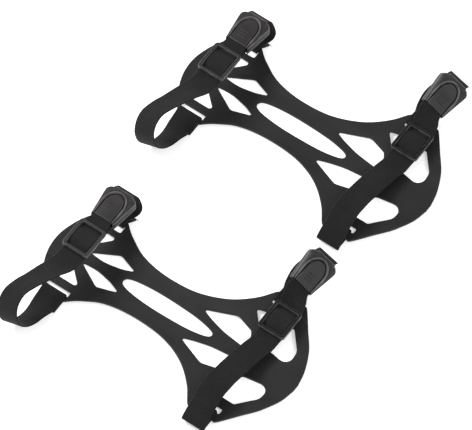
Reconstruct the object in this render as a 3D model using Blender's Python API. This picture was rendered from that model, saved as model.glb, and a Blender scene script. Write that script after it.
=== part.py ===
"""A pair of strap-on forearm guards.

Each guard is one thin moulded plate, shaped like an hourglass and cut with
vents, that two elastic straps hold on the arm.  Each strap has a long half,
with a three-bar slider and the tongue of a buckle, and a short half with the
buckle's socket.  A ribbed panel on the tongue is pressed to open the buckle.

Axes: +X from the narrow end to the wide end of a plate, +Y from the long
halves of the straps to the short halves, +Z up from the flat underside.
"""
import math

import bmesh
import bpy
import numpy as np
from mathutils import Matrix, Vector
from mathutils.geometry import delaunay_2d_cdt

MM = 0.001

# ---------------------------------------------------------------- driving sizes, in mm
GAP = 0.3                  # clearance left between any two pieces
PLATE_THICK = 2.0
EAR_LIFT = 1.8             # the ears curl up this far, so a strap passes below their bars
LIFT_FROM, LIFT_TO = 14.0, 28.0        # the curl's start and end, across the plate

WEB = 1.2                  # thickness of the elastic
WEB_HALF = 9.75            # half of its width
PLY = WEB + GAP            # distance between the middles of two layers that lie together

NARROW_BAR = (36.5, 41.0)  # inner and outer edge of the narrow ear's slot bar, across the plate
WIDE_BAR = (51.0, 58.0)
NARROW_SLOT = (-46.0, -24.2, 29.9, 36.5)
WIDE_SLOT = (98.5, 122.0, 44.2, 51.0)

SLIDER_HALF_X, SLIDER_HALF_Y, SLIDER_THICK = 11.5, 13.0, 4.2
WINDOW_HALF_X, WINDOW_HALF_Y = 8.3, 10.0
CENTRE_BAR_HALF, CENTRE_BAR_THICK = 1.5, 1.0

BUCKLE_LENGTH = 28.6
CHANNEL_HALF = 9.0         # half of the room between the socket's walls
BASE_THICK = 1.3
DECK = (6.7, 7.9)          # underside and top of the socket's deck
CHANNEL_END = 22.0
STRAP_ROOM = 23.2          # where the open room round the socket's end bar starts
PANEL_HALF = 7.3
PANEL_END = 21.7
PANEL_TOP = 8.4
HINGE = (9.6, 5.05)        # the panel's rocking axis: along the buckle, and up
TONGUE_BAR = (3.0, 5.6, 3.1, 4.9)      # along the buckle from and to, underside and top
SOCKET_BAR = (25.6, 27.4, 2.4, 4.2)
HOOK_TOP = 5.7             # the tongue's hooks stay below the panel when it is pressed

# where each strap's hardware lies in a guard: x, y, z in mm, and the buckle's turns in
# degrees, first about X (pitch) and then about Y (roll)
NARROW = {"slider": (-33.6, -1.2, 29.2), "buckle": (-33.0, 19.6, 23.6), "pitch": 0.0, "roll": 0.0}
WIDE = {"slider": (115.2, 35.0, 8.6), "buckle": (110.4, 66.1, 10.35), "pitch": 13.0, "roll": 30.0}

LEFT_AT = (-49.9, 81.67)   # the left guard's own origin in the pair's frame
RIGHT_AT = (-42.8, -97.73)

RUBBER = ((0.042, 0.038, 0.040), 0.62)
ELASTIC = ((0.017, 0.017, 0.018), 0.85)
PLASTIC = ((0.060, 0.053, 0.055), 0.45)


# ---------------------------------------------------------------- scene and materials
def clear_scene():
    for old in list(bpy.data.objects):
        bpy.data.objects.remove(old, do_unlink=True)


def material(name, colour, roughness):
    made = bpy.data.materials.new(name)
    made.use_nodes = True
    shader = made.node_tree.nodes["Principled BSDF"]
    shader.inputs["Base Color"].default_value = (*colour, 1.0)
    shader.inputs["Roughness"].default_value = roughness
    shader.inputs["Metallic"].default_value = 0.0
    made.diffuse_color = (*colour, 1.0)
    return made


def empty(name, parent=None, location=(0, 0, 0), pitch=0.0, roll=0.0):
    made = bpy.data.objects.new(name, None)
    bpy.context.scene.collection.objects.link(made)
    made.parent = parent
    made.location = Vector(location) * MM
    made.rotation_euler = (math.radians(pitch), math.radians(roll), 0.0)
    return made


def place(name, mesh, finish, parent, location=(0, 0, 0)):
    made = bpy.data.objects.new(name, mesh)
    bpy.context.scene.collection.objects.link(made)
    made.parent = parent
    made.location = Vector(location) * MM
    if not mesh.materials:
        mesh.materials.append(finish)
    return made


# ---------------------------------------------------------------- outlines in a plane, in mm
def arc(cx, cy, radius, start, stop, steps):
    """Points on a circle, from one angle in degrees to another."""
    angles = np.radians(np.linspace(start, stop, steps + 1))
    return [(cx + radius * math.cos(a), cy + radius * math.sin(a)) for a in angles]


def flowing(points, steps):
    """A Catmull-Rom curve through the points, with so many steps between two of them."""
    rows = np.array(points, float)
    ends = np.vstack([2 * rows[0] - rows[1], rows, 2 * rows[-1] - rows[-2]])
    t = np.linspace(0, 1, steps, endpoint=False)[:, None]
    out = []
    for a, b, c, d in zip(ends[:-3], ends[1:-2], ends[2:-1], ends[3:]):
        out.append(0.5 * (2 * b + (c - a) * t + (2 * a - 5 * b + 4 * c - d) * t ** 2
                          + (3 * b - 3 * c + d - a) * t ** 3))
    return np.vstack(out + [rows[-1:]])


def rounded(corners, radius, steps=3):
    """A closed outline whose corners are turned with tangent arcs.

    A corner is (x, y), with the common radius, or (x, y, radius).
    """
    out = []
    count = len(corners)
    for i, corner in enumerate(corners):
        here = np.array(corner[:2], float)
        r = corner[2] if len(corner) > 2 else radius
        before = np.array(corners[i - 1][:2], float) - here
        after = np.array(corners[(i + 1) % count][:2], float) - here
        before /= np.linalg.norm(before)
        after /= np.linalg.norm(after)
        half = math.acos(np.clip(before @ after, -1, 1)) / 2
        reach = r / math.tan(half)
        middle = before + after
        centre = here + middle / np.linalg.norm(middle) * r / math.sin(half)
        first = here + before * reach - centre
        last = here + after * reach - centre
        a0 = math.atan2(first[1], first[0])
        turn = math.atan2(last[1], last[0]) - a0
        turn = (turn + math.pi) % (2 * math.pi) - math.pi
        for k in range(steps + 1):
            a = a0 + turn * k / steps
            out.append((centre[0] + r * math.cos(a), centre[1] + r * math.sin(a)))
    return out


def mirrored(points):
    return [(x, -y) for x, y in reversed(points)]


# ---------------------------------------------------------------- solids
def mesh_from(name, verts, faces):
    mesh = bpy.data.meshes.new(name)
    mesh.from_pydata([tuple(v) for v in np.asarray(verts) * MM], [], faces)
    mesh.validate()
    mesh.update()
    return mesh


def prism(outline, low, high):
    """The solid between two heights over an outline that runs anticlockwise."""
    n = len(outline)
    verts = [(x, y, low) for x, y in outline] + [(x, y, high) for x, y in outline]
    sides = [(i, (i + 1) % n, n + (i + 1) % n, n + i) for i in range(n)]
    return mesh_from("prism", verts, [tuple(reversed(range(n))), tuple(range(n, 2 * n))] + sides)


def box(x0, x1, y0, y1, z0, z1):
    return prism([(x0, y0), (x1, y0), (x1, y1), (x0, y1)], z0, z1)


def combine(name, base, additions=(), cuts=(), bevel=0.0, segments=1):
    """The base with solids joined to it and cut from it, as one clean mesh."""
    scene = bpy.context.scene.collection.objects
    body = bpy.data.objects.new(name, base)
    scene.link(body)
    helpers = []
    for operation, meshes in (("UNION", additions), ("DIFFERENCE", cuts)):
        for mesh in meshes:
            tool = bpy.data.objects.new("tool", mesh)
            scene.link(tool)
            helpers.append(tool)
            step = body.modifiers.new(operation.lower(), "BOOLEAN")
            step.operation = operation
            step.object = tool
            step.solver = "EXACT"
    if bevel:
        edge = body.modifiers.new("edge", "BEVEL")
        edge.width = bevel * MM
        edge.segments = segments
        edge.limit_method = "ANGLE"
        edge.angle_limit = math.radians(50)
    bpy.context.view_layer.update()
    made = bpy.data.meshes.new_from_object(body.evaluated_get(bpy.context.evaluated_depsgraph_get()))
    made.name = name
    for used in [body] + helpers:
        bpy.data.objects.remove(used, do_unlink=True)
    return made


# ---------------------------------------------------------------- the plate
def plate_outline():
    half = arc(-16.5, 0, 45.0, 180, 148, 7)
    half += [tuple(p) for p in flowing([(-51.2, 29.4), (-47.0, 36.0), (-44.8, 39.6), (-41.8, 41.0)], 2)]
    half += [tuple(p) for p in flowing(
        [(-26.6, 41.0), (-24.2, 40.2), (-18.4, 35.2), (-11.7, 30.8), (-1.4, 25.2), (12.0, 21.8),
         (28.0, 20.6), (45.0, 21.6), (58.0, 24.6), (70.0, 29.6), (80.0, 36.2), (90.0, 45.8),
         (97.4, 56.0), (100.4, 58.0)], 3)]
    half += [tuple(p) for p in flowing(
        [(121.2, 58.0), (124.2, 56.8), (135.0, 42.8), (145.0, 29.6), (151.5, 15.0), (154.2, 3.0)], 3)]
    return half + mirrored(half[1:])


def lens_outline():
    half = flowing([(0, 0), (2.2, 3.1), (10, 5.3), (25, 6.7), (42, 6.8), (60, 6.0), (72, 4.2),
                    (78, 2.2), (79.5, 0)], 2)
    half = [tuple(p) for p in half]
    return half[:-1] + mirrored(half[1:])


def vent_outlines():
    """The vents and slots on the side of +Y; the other side mirrors them."""
    narrow = rounded([(3.4, 10.6, 1.0), (-13.0, 16.1, 4.0), (-33.6, 5.0, 0.8), (-20.0, 4.0, 40.0),
                      (-6.0, 6.8, 30.0)], 1.0)
    corner = rounded([(-22.4, 24.9), (-36.0, 12.2), (-46.0, 14.2), (-48.0, 24.9)], 1.8)
    fan = rounded([(61.6, 14.4, 1.2), (86.3, 23.9, 6.0), (100.4, 19.8, 2.5), (106.0, 11.0, 3.0),
                   (103.2, 5.4, 1.6), (84.0, 7.6, 60.0), (72.0, 10.8, 40.0)], 1.0)
    drop = rounded([(93.8, 36.2, 1.8), (98.5, 38.0, 1.5), (126.0, 38.0, 2.0), (138.2, 24.0, 8.0),
                    (139.0, 10.6, 6.5), (118.0, 14.2, 6.0), (101.0, 28.2, 12.0)], 1.0)
    slots = []
    for x0, x1, y0, y1 in (NARROW_SLOT, WIDE_SLOT):
        slots.append(rounded([(x0, y0), (x1, y0), (x1, y1), (x0, y1)], 1.6, 2))
    return [narrow, corner, fan, drop] + slots


def inside(points, loop):
    """Which points lie in the closed loop, by counting the edges crossed on the way out."""
    x, y = points[:, 0][:, None], points[:, 1][:, None]
    a = np.array(loop)
    b = np.roll(a, -1, axis=0)
    spans = (a[:, 1] > y) != (b[:, 1] > y)
    rise = np.where(b[:, 1] == a[:, 1], 1.0, b[:, 1] - a[:, 1])
    crossing = a[:, 0] + (y - a[:, 1]) / rise * (b[:, 0] - a[:, 0])
    return (np.sum(spans & (x < crossing), axis=1) % 2) == 1


def distance_to(points, loop):
    a = np.array(loop)[None]
    b = np.roll(a, -1, axis=1)
    along = np.clip(np.sum((points[:, None] - a) * (b - a), 2) / np.sum((b - a) ** 2, 2), 0, 1)
    return np.min(np.linalg.norm(points[:, None] - a - along[..., None] * (b - a), axis=2), axis=1)


def curl(y):
    """How far the plate's underside lies above the floor, so many mm across it."""
    t = np.clip((np.abs(y) - LIFT_FROM) / (LIFT_TO - LIFT_FROM), 0, 1)
    return EAR_LIFT * t * t * (3 - 2 * t)


def plate_mesh():
    outer = plate_outline()
    holes = [lens_outline()]
    for vent in vent_outlines():
        holes += [vent, mirrored(vent)]
    loops = [outer] + holes
    across = np.linspace(LIFT_FROM, LIFT_TO, 4)
    grid_x, grid_y = np.meshgrid(np.arange(-54.0, 152.0, 9.0), np.concatenate([-across, across]))
    grid = np.column_stack([grid_x.ravel(), grid_y.ravel()])
    keep = inside(grid, outer)
    for loop in loops:
        keep &= distance_to(grid, loop) > 1.5
    for loop in holes:
        keep &= ~inside(grid, loop)
    rows, edges, start = [], [], 0
    for loop in loops:
        n = len(loop)
        rows += loop
        edges += [(start + i, start + (i + 1) % n) for i in range(n)]
        start += n
    rows = np.vstack([np.array(rows), grid[keep]])
    flat, _, faces, *_ = delaunay_2d_cdt([Vector(p) for p in rows], edges, [], 0, 1e-6)
    flat = np.array([tuple(p) for p in flat])
    middles = np.array([flat[list(f)].mean(axis=0) for f in faces])
    solid = inside(middles, outer)
    for loop in holes:
        solid &= ~inside(middles, loop)
    faces = [tuple(f) for f, s in zip(faces, solid) if s]
    n = len(flat)
    low = np.column_stack([flat, curl(flat[:, 1])])
    high = low + (0, 0, PLATE_THICK)
    directed = {(f[i], f[(i + 1) % len(f)]) for f in faces for i in range(len(f))}
    rim = [(a, b) for a, b in directed if (b, a) not in directed]
    walls = [(a, b, n + b, n + a) for a, b in sorted(rim)]
    under = [tuple(reversed(f)) for f in faces]
    over = [tuple(i + n for i in f) for f in faces]
    return mesh_from("guard_plate", np.vstack([low, high]), under + over + walls)


# ---------------------------------------------------------------- the slider
def slider_mesh():
    """A three-bar frame: the strap goes below its end bars and over its centre bar."""
    hx, hy = SLIDER_HALF_X, SLIDER_HALF_Y
    wx, wy = WINDOW_HALF_X, WINDOW_HALF_Y
    frame = prism(rounded([(-hx, -hy), (hx, -hy), (hx, hy), (-hx, hy)], 1.8, 2), 0, SLIDER_THICK)
    window = prism(rounded([(-wx, -wy), (wx, -wy), (wx, wy), (-wx, wy)], 1.0, 1), -1, SLIDER_THICK + 1)
    bar = box(-wx - 1.5, wx + 1.5, -CENTRE_BAR_HALF, CENTRE_BAR_HALF, 0.0, CENTRE_BAR_THICK)
    ring = combine("ring", frame, cuts=[window], bevel=0.5)
    return combine("strap_slider", ring, additions=[bar])


# ---------------------------------------------------------------- the buckle, with y along it from its mouth
def arched(half, straight, end, start):
    """A panel outline with a flat near edge and a half-ellipse at its far end."""
    angles = np.radians(np.linspace(0, 180, 13))
    dome = [(half * math.cos(a), straight + (end - straight) * math.sin(a)) for a in angles]
    return [(-half, start), (half, start)] + dome


def socket_outline():
    half = [(10.3, 0.4), (12.9, 19.6)] + arc(8.9, 22.0, 4.3, 0, 78, 4) + [(8.4, 27.2), (8.4, BUCKLE_LENGTH)]
    return half + [(-x, y) for x, y in reversed(half)]


def socket_mesh():
    """Walls, base, end bar and a deck whose arched window shows the tongue's panel."""
    top = DECK[1]
    shell = prism(socket_outline(), 0.0, top)
    channel = box(-CHANNEL_HALF, CHANNEL_HALF, -1.0, CHANNEL_END, BASE_THICK, DECK[0])
    window = prism(arched(PANEL_HALF + 0.5, 13.8, PANEL_END + 0.8, -1.0), DECK[0] - 0.5, top + 1.5)
    strap_room = box(-CHANNEL_HALF, CHANNEL_HALF, STRAP_ROOM, BUCKLE_LENGTH + 1, -1.0, DECK[0])
    rim = prism(arched(10.6, 14.5, 25.0, 9.0), top - 0.6, top + 0.7)
    y0, y1, z0, z1 = SOCKET_BAR
    bar = box(-CHANNEL_HALF - 1, CHANNEL_HALF + 1, y0, y1, z0, z1)
    body = combine("socket_shell", shell, additions=[rim], bevel=0.4)
    body = combine("socket_open", body, cuts=[channel, window, strap_room])
    return combine("buckle_socket", body, additions=[bar])


def tongue_mesh():
    """A slab that slides in the socket, with the long strap's bar at its near end."""
    y0, y1, z0, z1 = TONGUE_BAR
    slab = prism(rounded([(-8.7, y0, 0.8), (8.7, y0, 0.8), (8.7, 19.4, 3.0), (-8.7, 19.4, 3.0)], 1, 2), z0, z1)
    slot = box(-7.9, 7.9, y1, y1 + 2.6, z0 - 1, z1 + 1)
    hooks = [box(side - 1.1, side + 1.1, 13.2, 17.4, z1 - 0.5, HOOK_TOP) for side in (-6.6, 6.6)]
    return combine("buckle_tongue", slab, additions=hooks, cuts=[slot])


def panel_mesh():
    """The pressed panel, about its rocking axis: an arched plate with ridges and a root below."""
    plate = prism(arched(PANEL_HALF, 13.8, PANEL_END, 0.6), DECK[0], PANEL_TOP)
    ridges = [box(-3.2, 3.2, y - 0.45, y + 0.45, PANEL_TOP - 0.4, PANEL_TOP + 0.45) for y in (6.6, 8.8, 11.0)]
    root = box(-6.0, 6.0, HINGE[0] - 0.7, HINGE[0] + 0.7, HINGE[1] + 0.15, DECK[0] + 0.5)
    made = combine("release_panel", combine("panel_plate", plate, bevel=0.35), additions=ridges + [root])
    made.transform(Matrix.Translation(Vector((0, -HINGE[0], -HINGE[1])) * MM))
    return made


# ---------------------------------------------------------------- straps
def round_bar(near, far, low, high, steps=3):
    """The (y, z) route of a strap over, round and below a bar.

    It starts above the edge at `far`, turns round the edge at `near`, and comes
    back below to `far`, keeping clear of the bar by the gap.
    """
    r = GAP + WEB / 2 + 0.05
    side = 1 if near > far else -1
    start, middle = 90, (0 if side > 0 else 180)
    last = -90 if side > 0 else 270
    top = arc(near, high, r, start, middle, steps)
    below = arc(near, low, r, middle, last, steps)
    return [(far, high + r)] + top + below + [(far, low - r)]


def ribbon(name, rows):
    """A strap as one solid: a thin rectangle carried along a route.

    Each row is x, y, z of the route in mm, the strap's roll in degrees, and
    half of its width there.  The width lies along X turned by the roll, so a
    route that steps sideways shears the strap, and the thickness is square to
    the width and to the route.
    """
    rows = np.array(rows, float)
    centre, roll, half = rows[:, :3], np.radians(rows[:, 3]), rows[:, 4:5]
    ahead = np.gradient(centre, axis=0)
    steps = np.diff(centre, axis=0)
    steps /= np.linalg.norm(steps, axis=1)[:, None]
    ahead[1:-1] = steps[1:] + steps[:-1]
    ahead /= np.linalg.norm(ahead, axis=1)[:, None]
    width = np.column_stack([np.cos(roll), np.zeros(len(rows)), np.sin(roll)])
    thick = np.cross(width, ahead)
    thick *= WEB / 2 / np.linalg.norm(thick, axis=1)[:, None]
    side = width * half
    rings = np.stack([centre - side - thick, centre + side - thick,
                      centre + side + thick, centre - side + thick], axis=1)
    n = len(rows)
    faces = [(3, 2, 1, 0), tuple(4 * (n - 1) + k for k in range(4))]
    for i in range(n - 1):
        for k in range(4):
            j = (k + 1) % 4
            faces.append((4 * i + k, 4 * i + j, 4 * i + 4 + j, 4 * i + 4 + k))
    mesh = mesh_from(name, rings.reshape(-1, 3), faces)
    tidy = bmesh.new()
    tidy.from_mesh(mesh)
    bmesh.ops.recalc_face_normals(tidy, faces=tidy.faces)
    tidy.to_mesh(mesh)
    tidy.free()
    return mesh


def with_x(points, x, roll=0.0, half=WEB_HALF):
    return [(x, y, z, roll, half) for y, z in points]


def over_slider(centre, steps=22):
    """The route through a slider: below an end bar, over the centre bar, below the other."""
    x, y, z = centre
    reach = SLIDER_HALF_Y + 0.6
    low = z - GAP - WEB / 2
    high = z + CENTRE_BAR_THICK + 2 * GAP + 1.5 * WEB
    along = np.linspace(-reach, reach, steps + 1)
    off = np.clip((np.abs(along) - CENTRE_BAR_HALF) / (WINDOW_HALF_Y - 1.4 - CENTRE_BAR_HALF), 0, 1)
    rise = low + (high - low) * 0.5 * (1 + np.cos(np.pi * off))
    return [(y + a, h) for a, h in zip(along, rise)]


def back_under_slider(centre):
    """The returned end: one layer below the route above, then round the centre bar."""
    x, y, z = centre
    route = np.array(over_slider(centre))
    ahead = np.gradient(route, axis=0)
    ahead /= np.linalg.norm(ahead, axis=1)[:, None]
    below = route - PLY * np.column_stack([-ahead[:, 1], ahead[:, 0]])
    incoming = [tuple(p) for p in below[::-1] if p[0] > y + CENTRE_BAR_HALF + 0.2]
    eye = round_bar(y - CENTRE_BAR_HALF, y + CENTRE_BAR_HALF, z, z + CENTRE_BAR_THICK, 2)
    return incoming + eye[:-1] + [(y - 0.9, eye[-1][1])]


def into(spot, points):
    """(y, z) points of a buckle's own middle plane, as (x, y, z) in the guard's frame."""
    x, y, z = spot["buckle"]
    pitch, roll = math.radians(spot["pitch"]), math.radians(spot["roll"])
    out = []
    for u, w in points:
        ahead = u * math.cos(pitch) - w * math.sin(pitch)
        up = u * math.sin(pitch) + w * math.cos(pitch)
        out.append((x + up * math.sin(roll), y + ahead, z + up * math.cos(roll)))
    return out


def leaning(spot, points, half):
    """Strap rows through a buckle's own (y, z) points, rolled with the buckle."""
    return [(*point, -spot["roll"], half) for point in into(spot, points)]


def between(first, last, count=3):
    """So many rows on the straight way from one row to another, with an even twist."""
    share = np.linspace(0, 1, count + 2)[1:-1, None]
    return [tuple(row) for row in np.array(first) + share * (np.array(last) - np.array(first))]


def pinched(rows, spots):
    """Rows whose half width closes to each spot's value near its (y, z), over its reach."""
    rows = np.array(rows, float)
    for y, z, half, inner, outer in spots:
        away = np.hypot(rows[:, 1] - y, rows[:, 2] - z)
        t = np.clip((away - inner) / (outer - inner), 0, 1)
        rows[:, 4] = np.minimum(rows[:, 4], half + (WEB_HALF - half) * t * t * (3 - 2 * t))
    return rows


def through_hardware(spot):
    """Through the slider, round the tongue's bar, and back round the slider's centre bar."""
    x, y, z = spot["slider"]
    y0, y1, z0, z1 = TONGUE_BAR
    turn = leaning(spot, round_bar(y1, -3.5, z0, z1), WEB_HALF)
    main = with_x(over_slider(spot["slider"]), x)
    back = with_x(back_under_slider(spot["slider"]), x)
    rows = main + between(main[-1], turn[0]) + turn + between(turn[-1], back[0]) + back
    tongue_at = into(spot, [((y0 + y1) / 2, (z0 + z1) / 2)])[0][1:]
    return pinched(rows, [(y, z, WINDOW_HALF_X - 0.5, 9.4, 14.5), (*tongue_at, 7.5, 3.2, 11.0)])


def narrow_long_strap():
    """Out from the ear, round in one tall open loop that leans away, and back to the slider."""
    inner, outer = NARROW_BAR
    eye = round_bar(-inner, -outer, EAR_LIFT, EAR_LIFT + PLATE_THICK)
    tail = [(-51.0, 0.95), (-46.0, 0.95)]
    eye = with_x(tail + eye[::-1], -35.0)
    loop = flowing(
        [(-35.0, -44.6, 3.4, 0, 9.75), (-34.8, -49.5, 2.7, 3, 9.75), (-34.6, -55.5, 4.0, 16, 9.75),
         (-34.8, -62.0, 5.4, 26, 9.75), (-36.0, -69.5, 6.2, 27, 9.75), (-38.4, -77.0, 9.4, 27, 9.75),
         (-41.4, -81.6, 15.6, 26, 9.75), (-45.0, -80.4, 22.6, 25, 9.75), (-47.6, -74.6, 28.6, 24, 9.75),
         (-48.0, -66.8, 31.8, 23, 9.75), (-45.6, -58.0, 32.7, 21, 9.75), (-42.0, -48.5, 32.3, 18, 9.75),
         (-38.2, -37.5, 31.2, 12, 9.75), (-35.4, -27.0, 29.6, 5, 9.75), (-33.9, -18.0, 28.5, 0, 9.75)], 3)
    return np.vstack([eye, loop, through_hardware(NARROW)])


def wide_long_strap():
    """Out along the floor to a tight fold, then back over the ear and down to the slider."""
    inner, outer = WIDE_BAR
    eye = round_bar(-inner, -outer, EAR_LIFT, EAR_LIFT + PLATE_THICK)
    tail = [(-65.0, 0.95), (-61.0, 0.95)]
    eye = with_x(tail + eye[::-1], 110.0)
    fold = flowing(
        [(110.0, -61.4, 3.2, 0, 9.75), (110.6, -65.5, 2.6, 0, 9.75), (111.4, -68.6, 3.3, 0, 9.75),
         (111.8, -69.0, 5.2, 0, 9.75), (111.6, -66.0, 6.8, 0, 9.75), (111.0, -59.6, 8.4, 0, 9.75),
         (110.4, -51.6, 12.0, 0, 9.75), (110.2, -43.0, 15.4, 0, 9.75), (110.4, -33.5, 15.6, 0, 9.75),
         (110.8, -22.5, 13.4, 0, 9.75), (111.6, -9.5, 10.4, 0, 9.75), (113.0, 4.5, 8.4, 0, 9.75),
         (114.9, 16.0, 7.8, 0, 9.75)], 3)
    return np.vstack([eye, fold, through_hardware(WIDE)])


def socket_turn(spot):
    """Over, round and below the socket's end bar, seen from outside the buckle."""
    y0, y1, z0, z1 = SOCKET_BAR
    return leaning(spot, round_bar(y0, y1 + 1.6, z0, z1), CHANNEL_HALF - 0.5)


def narrow_short_strap():
    """From below the socket's bar, round it, out of the buckle's end, and down to the ear."""
    inner, outer = NARROW_BAR
    eye = round_bar(inner, outer, EAR_LIFT, EAR_LIFT + PLATE_THICK)
    side_eye = with_x(eye, -34.6, 0.0, 9.2)
    tail = [(-33.6, 42.8, 0.95, 0, 9.4), (-31.4, 46.2, 1.2, 0, 9.6)]
    turn = socket_turn(NARROW)[::-1]
    drop = flowing([(-32.0, 50.6, 27.2, 0, 8.8), (-30.2, 51.4, 22.4, -3, 9.4), (-28.6, 50.8, 15.5, -5, 9.6),
                    (-29.8, 48.2, 9.4, -3, 9.6), (-32.6, 44.2, 5.8, 0, 9.5)], 3)
    return np.vstack([turn, drop, side_eye, tail])


def wide_short_strap():
    """From the socket down to the floor, back below the buckle, and round the ear's bar."""
    inner, outer = WIDE_BAR
    eye = round_bar(inner, outer, EAR_LIFT, EAR_LIFT + PLATE_THICK)[::-1]
    end = [(60.2, 4.2), (64.0, 3.0)]
    side_eye = with_x(eye + end, 109.4)
    turn = socket_turn(WIDE)[::-1]
    drop = flowing([(115.6, 95.8, 18.0, -27, 8.8), (113.8, 97.6, 13.6, -20, 9.2), (111.2, 97.6, 8.8, -12, 9.5),
                    (108.2, 95.0, 4.4, -5, 9.75), (105.8, 90.0, 1.7, 0, 9.75), (104.6, 84.0, 0.95, 0, 9.75),
                    (104.8, 76.0, 0.95, 0, 9.75), (106.2, 69.0, 0.95, 0, 9.75), (108.6, 62.0, 0.95, 0, 9.75)], 3)
    return np.vstack([turn, drop, side_eye])


# ---------------------------------------------------------------- the pair
def build():
    clear_scene()
    rubber = material("moulded_rubber", *RUBBER)
    elastic = material("black_elastic", *ELASTIC)
    plastic = material("moulded_plastic", *PLASTIC)
    plate, slider = plate_mesh(), slider_mesh()
    socket, tongue, panel = socket_mesh(), tongue_mesh(), panel_mesh()
    straps = {"narrow": (NARROW, ribbon("narrow_long", narrow_long_strap()),
                         ribbon("narrow_short", narrow_short_strap())),
              "wide": (WIDE, ribbon("wide_long", wide_long_strap()),
                       ribbon("wide_short", wide_short_strap()))}
    for hand, (x, y) in (("left", LEFT_AT), ("right", RIGHT_AT)):
        guard = empty(f"{hand}_guard_frame", location=(x, y, 0))
        place(f"{hand}_plate", plate, rubber, guard)
        for end, (spot, long_half, short_half) in straps.items():
            call = f"{hand}_{end}"
            place(f"{call}_long_strap", long_half, elastic, guard)
            place(f"{call}_short_strap", short_half, elastic, guard)
            place(f"{call}_slider", slider, plastic, guard, spot["slider"])
            buckle = empty(f"{call}_buckle_frame", guard, spot["buckle"], spot["pitch"], spot["roll"])
            place(f"{call}_buckle_socket", socket, plastic, buckle)
            place(f"{call}_buckle_tongue", tongue, plastic, buckle)
            place(f"{call}_release_panel", panel, plastic, buckle, (0, *HINGE))


build()
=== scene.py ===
# %% [markdown]
# # A pair of strap-on forearm guards
#
# Each guard is one thin moulded plate with two elastic straps.  A strap runs
# from one ear of the plate, through a slider and a clip buckle, to the other
# ear.  The CAD gives a fixed frame of bodies and joints, and this script puts
# the visible surfaces on it.  Every shape is worked out in millimetres in a
# guard's own frame: X from the narrow end to the wide end, Y across, Z up.

# %% Load the frame
import math

import bmesh
import bpy
import numpy as np
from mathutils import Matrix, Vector
from mathutils.geometry import delaunay_2d_cdt


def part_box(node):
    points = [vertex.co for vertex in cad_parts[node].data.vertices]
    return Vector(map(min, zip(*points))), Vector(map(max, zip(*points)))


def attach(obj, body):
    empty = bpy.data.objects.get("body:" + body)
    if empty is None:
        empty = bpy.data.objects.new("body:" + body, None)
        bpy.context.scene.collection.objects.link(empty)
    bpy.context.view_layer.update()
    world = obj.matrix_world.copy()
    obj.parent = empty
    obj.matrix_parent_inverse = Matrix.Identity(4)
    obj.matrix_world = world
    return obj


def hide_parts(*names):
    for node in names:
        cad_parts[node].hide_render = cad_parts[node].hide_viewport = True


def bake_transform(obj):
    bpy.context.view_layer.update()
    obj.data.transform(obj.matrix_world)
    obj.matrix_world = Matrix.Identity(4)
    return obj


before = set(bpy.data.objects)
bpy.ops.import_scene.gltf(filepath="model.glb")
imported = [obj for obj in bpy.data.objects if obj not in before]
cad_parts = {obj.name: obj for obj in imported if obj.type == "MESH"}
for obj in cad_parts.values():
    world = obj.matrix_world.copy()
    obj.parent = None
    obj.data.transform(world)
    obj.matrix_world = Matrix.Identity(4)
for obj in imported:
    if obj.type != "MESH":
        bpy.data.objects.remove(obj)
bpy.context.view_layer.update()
MM = 0.001
HANDS = ("left", "right")
ENDS = ("narrow", "wide")

# %% [markdown]
# ## Where the guards lie
#
# Both guards have the same meshes, so each shape is made once and set down
# twice.  The place of a guard's origin follows from its CAD plate: the tip of
# the narrow end is 61.5 mm before the origin, and the plate is even about it.

# %% The guards' origins
PLATE_TIP = -61.5


def guard_origin(hand):
    """Where a guard's own frame begins, in millimetres."""
    low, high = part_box(f"{hand}_plate")
    return np.array([low.x / MM - PLATE_TIP, (low.y + high.y) / 2 / MM, 0.0])


def placed(points, hand):
    """Points of a guard's own frame, in millimetres, as places in the scene, in metres."""
    return (points + ORIGIN[hand]) * MM


ORIGIN = {hand: guard_origin(hand) for hand in HANDS}
print({hand: ORIGIN[hand].round(2).tolist() for hand in HANDS})

# %% [markdown]
# ## Camera, floor and light
#
# The pair is looked down on at sixty degrees, from a long way off, so lines
# that are parallel stay nearly parallel.  A very long lens gives that.  The
# floor and the surroundings are white.  Two soft lamps stand to the sides: the
# nearer and smaller one draws the light lines on the edges of black parts, and
# the other one lightens what it leaves dark.

# %% Camera
LENS, SENSOR = 500.0, 36.0
VIEW_WIDTH = 0.3466
AZIMUTH, ELEVATION = math.radians(35.4), math.radians(59.9)
LOOK_AT = Vector((-0.0081, -0.0045, 0.0))

camera_data = bpy.data.cameras.new("camera")
camera_data.lens, camera_data.sensor_width = LENS, SENSOR
camera_data.clip_end = 50.0
camera = bpy.data.objects.new("camera", camera_data)
bpy.context.scene.collection.objects.link(camera)
back = Vector((math.sin(AZIMUTH) * math.cos(ELEVATION), -math.cos(AZIMUTH) * math.cos(ELEVATION),
               math.sin(ELEVATION)))
camera.location = LOOK_AT + back * (LENS * VIEW_WIDTH / SENSOR)
camera.rotation_euler = back.to_track_quat("Z", "Y").to_euler()
bpy.context.scene.camera = camera
print("camera distance", round((camera.location - LOOK_AT).length, 2), "m")

# %% Light
bpy.context.scene.view_settings.view_transform = "Standard"
world = bpy.data.worlds.new("studio")
bpy.context.scene.world = world
world.use_nodes = True
world.node_tree.nodes["Background"].inputs["Color"].default_value = (1.0, 1.0, 1.0, 1.0)
world.node_tree.nodes["Background"].inputs["Strength"].default_value = 0.6


def soft_lamp(name, where, size, power, aim=(0.0, 0.0, 0.0)):
    """A round lamp that faces its aim."""
    data = bpy.data.lights.new(name, "AREA")
    data.shape, data.size, data.energy = "DISK", size, power
    lamp = bpy.data.objects.new(name, data)
    bpy.context.scene.collection.objects.link(lamp)
    lamp.location = where
    lamp.rotation_euler = (Vector(where) - Vector(aim)).to_track_quat("Z", "Y").to_euler()


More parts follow.
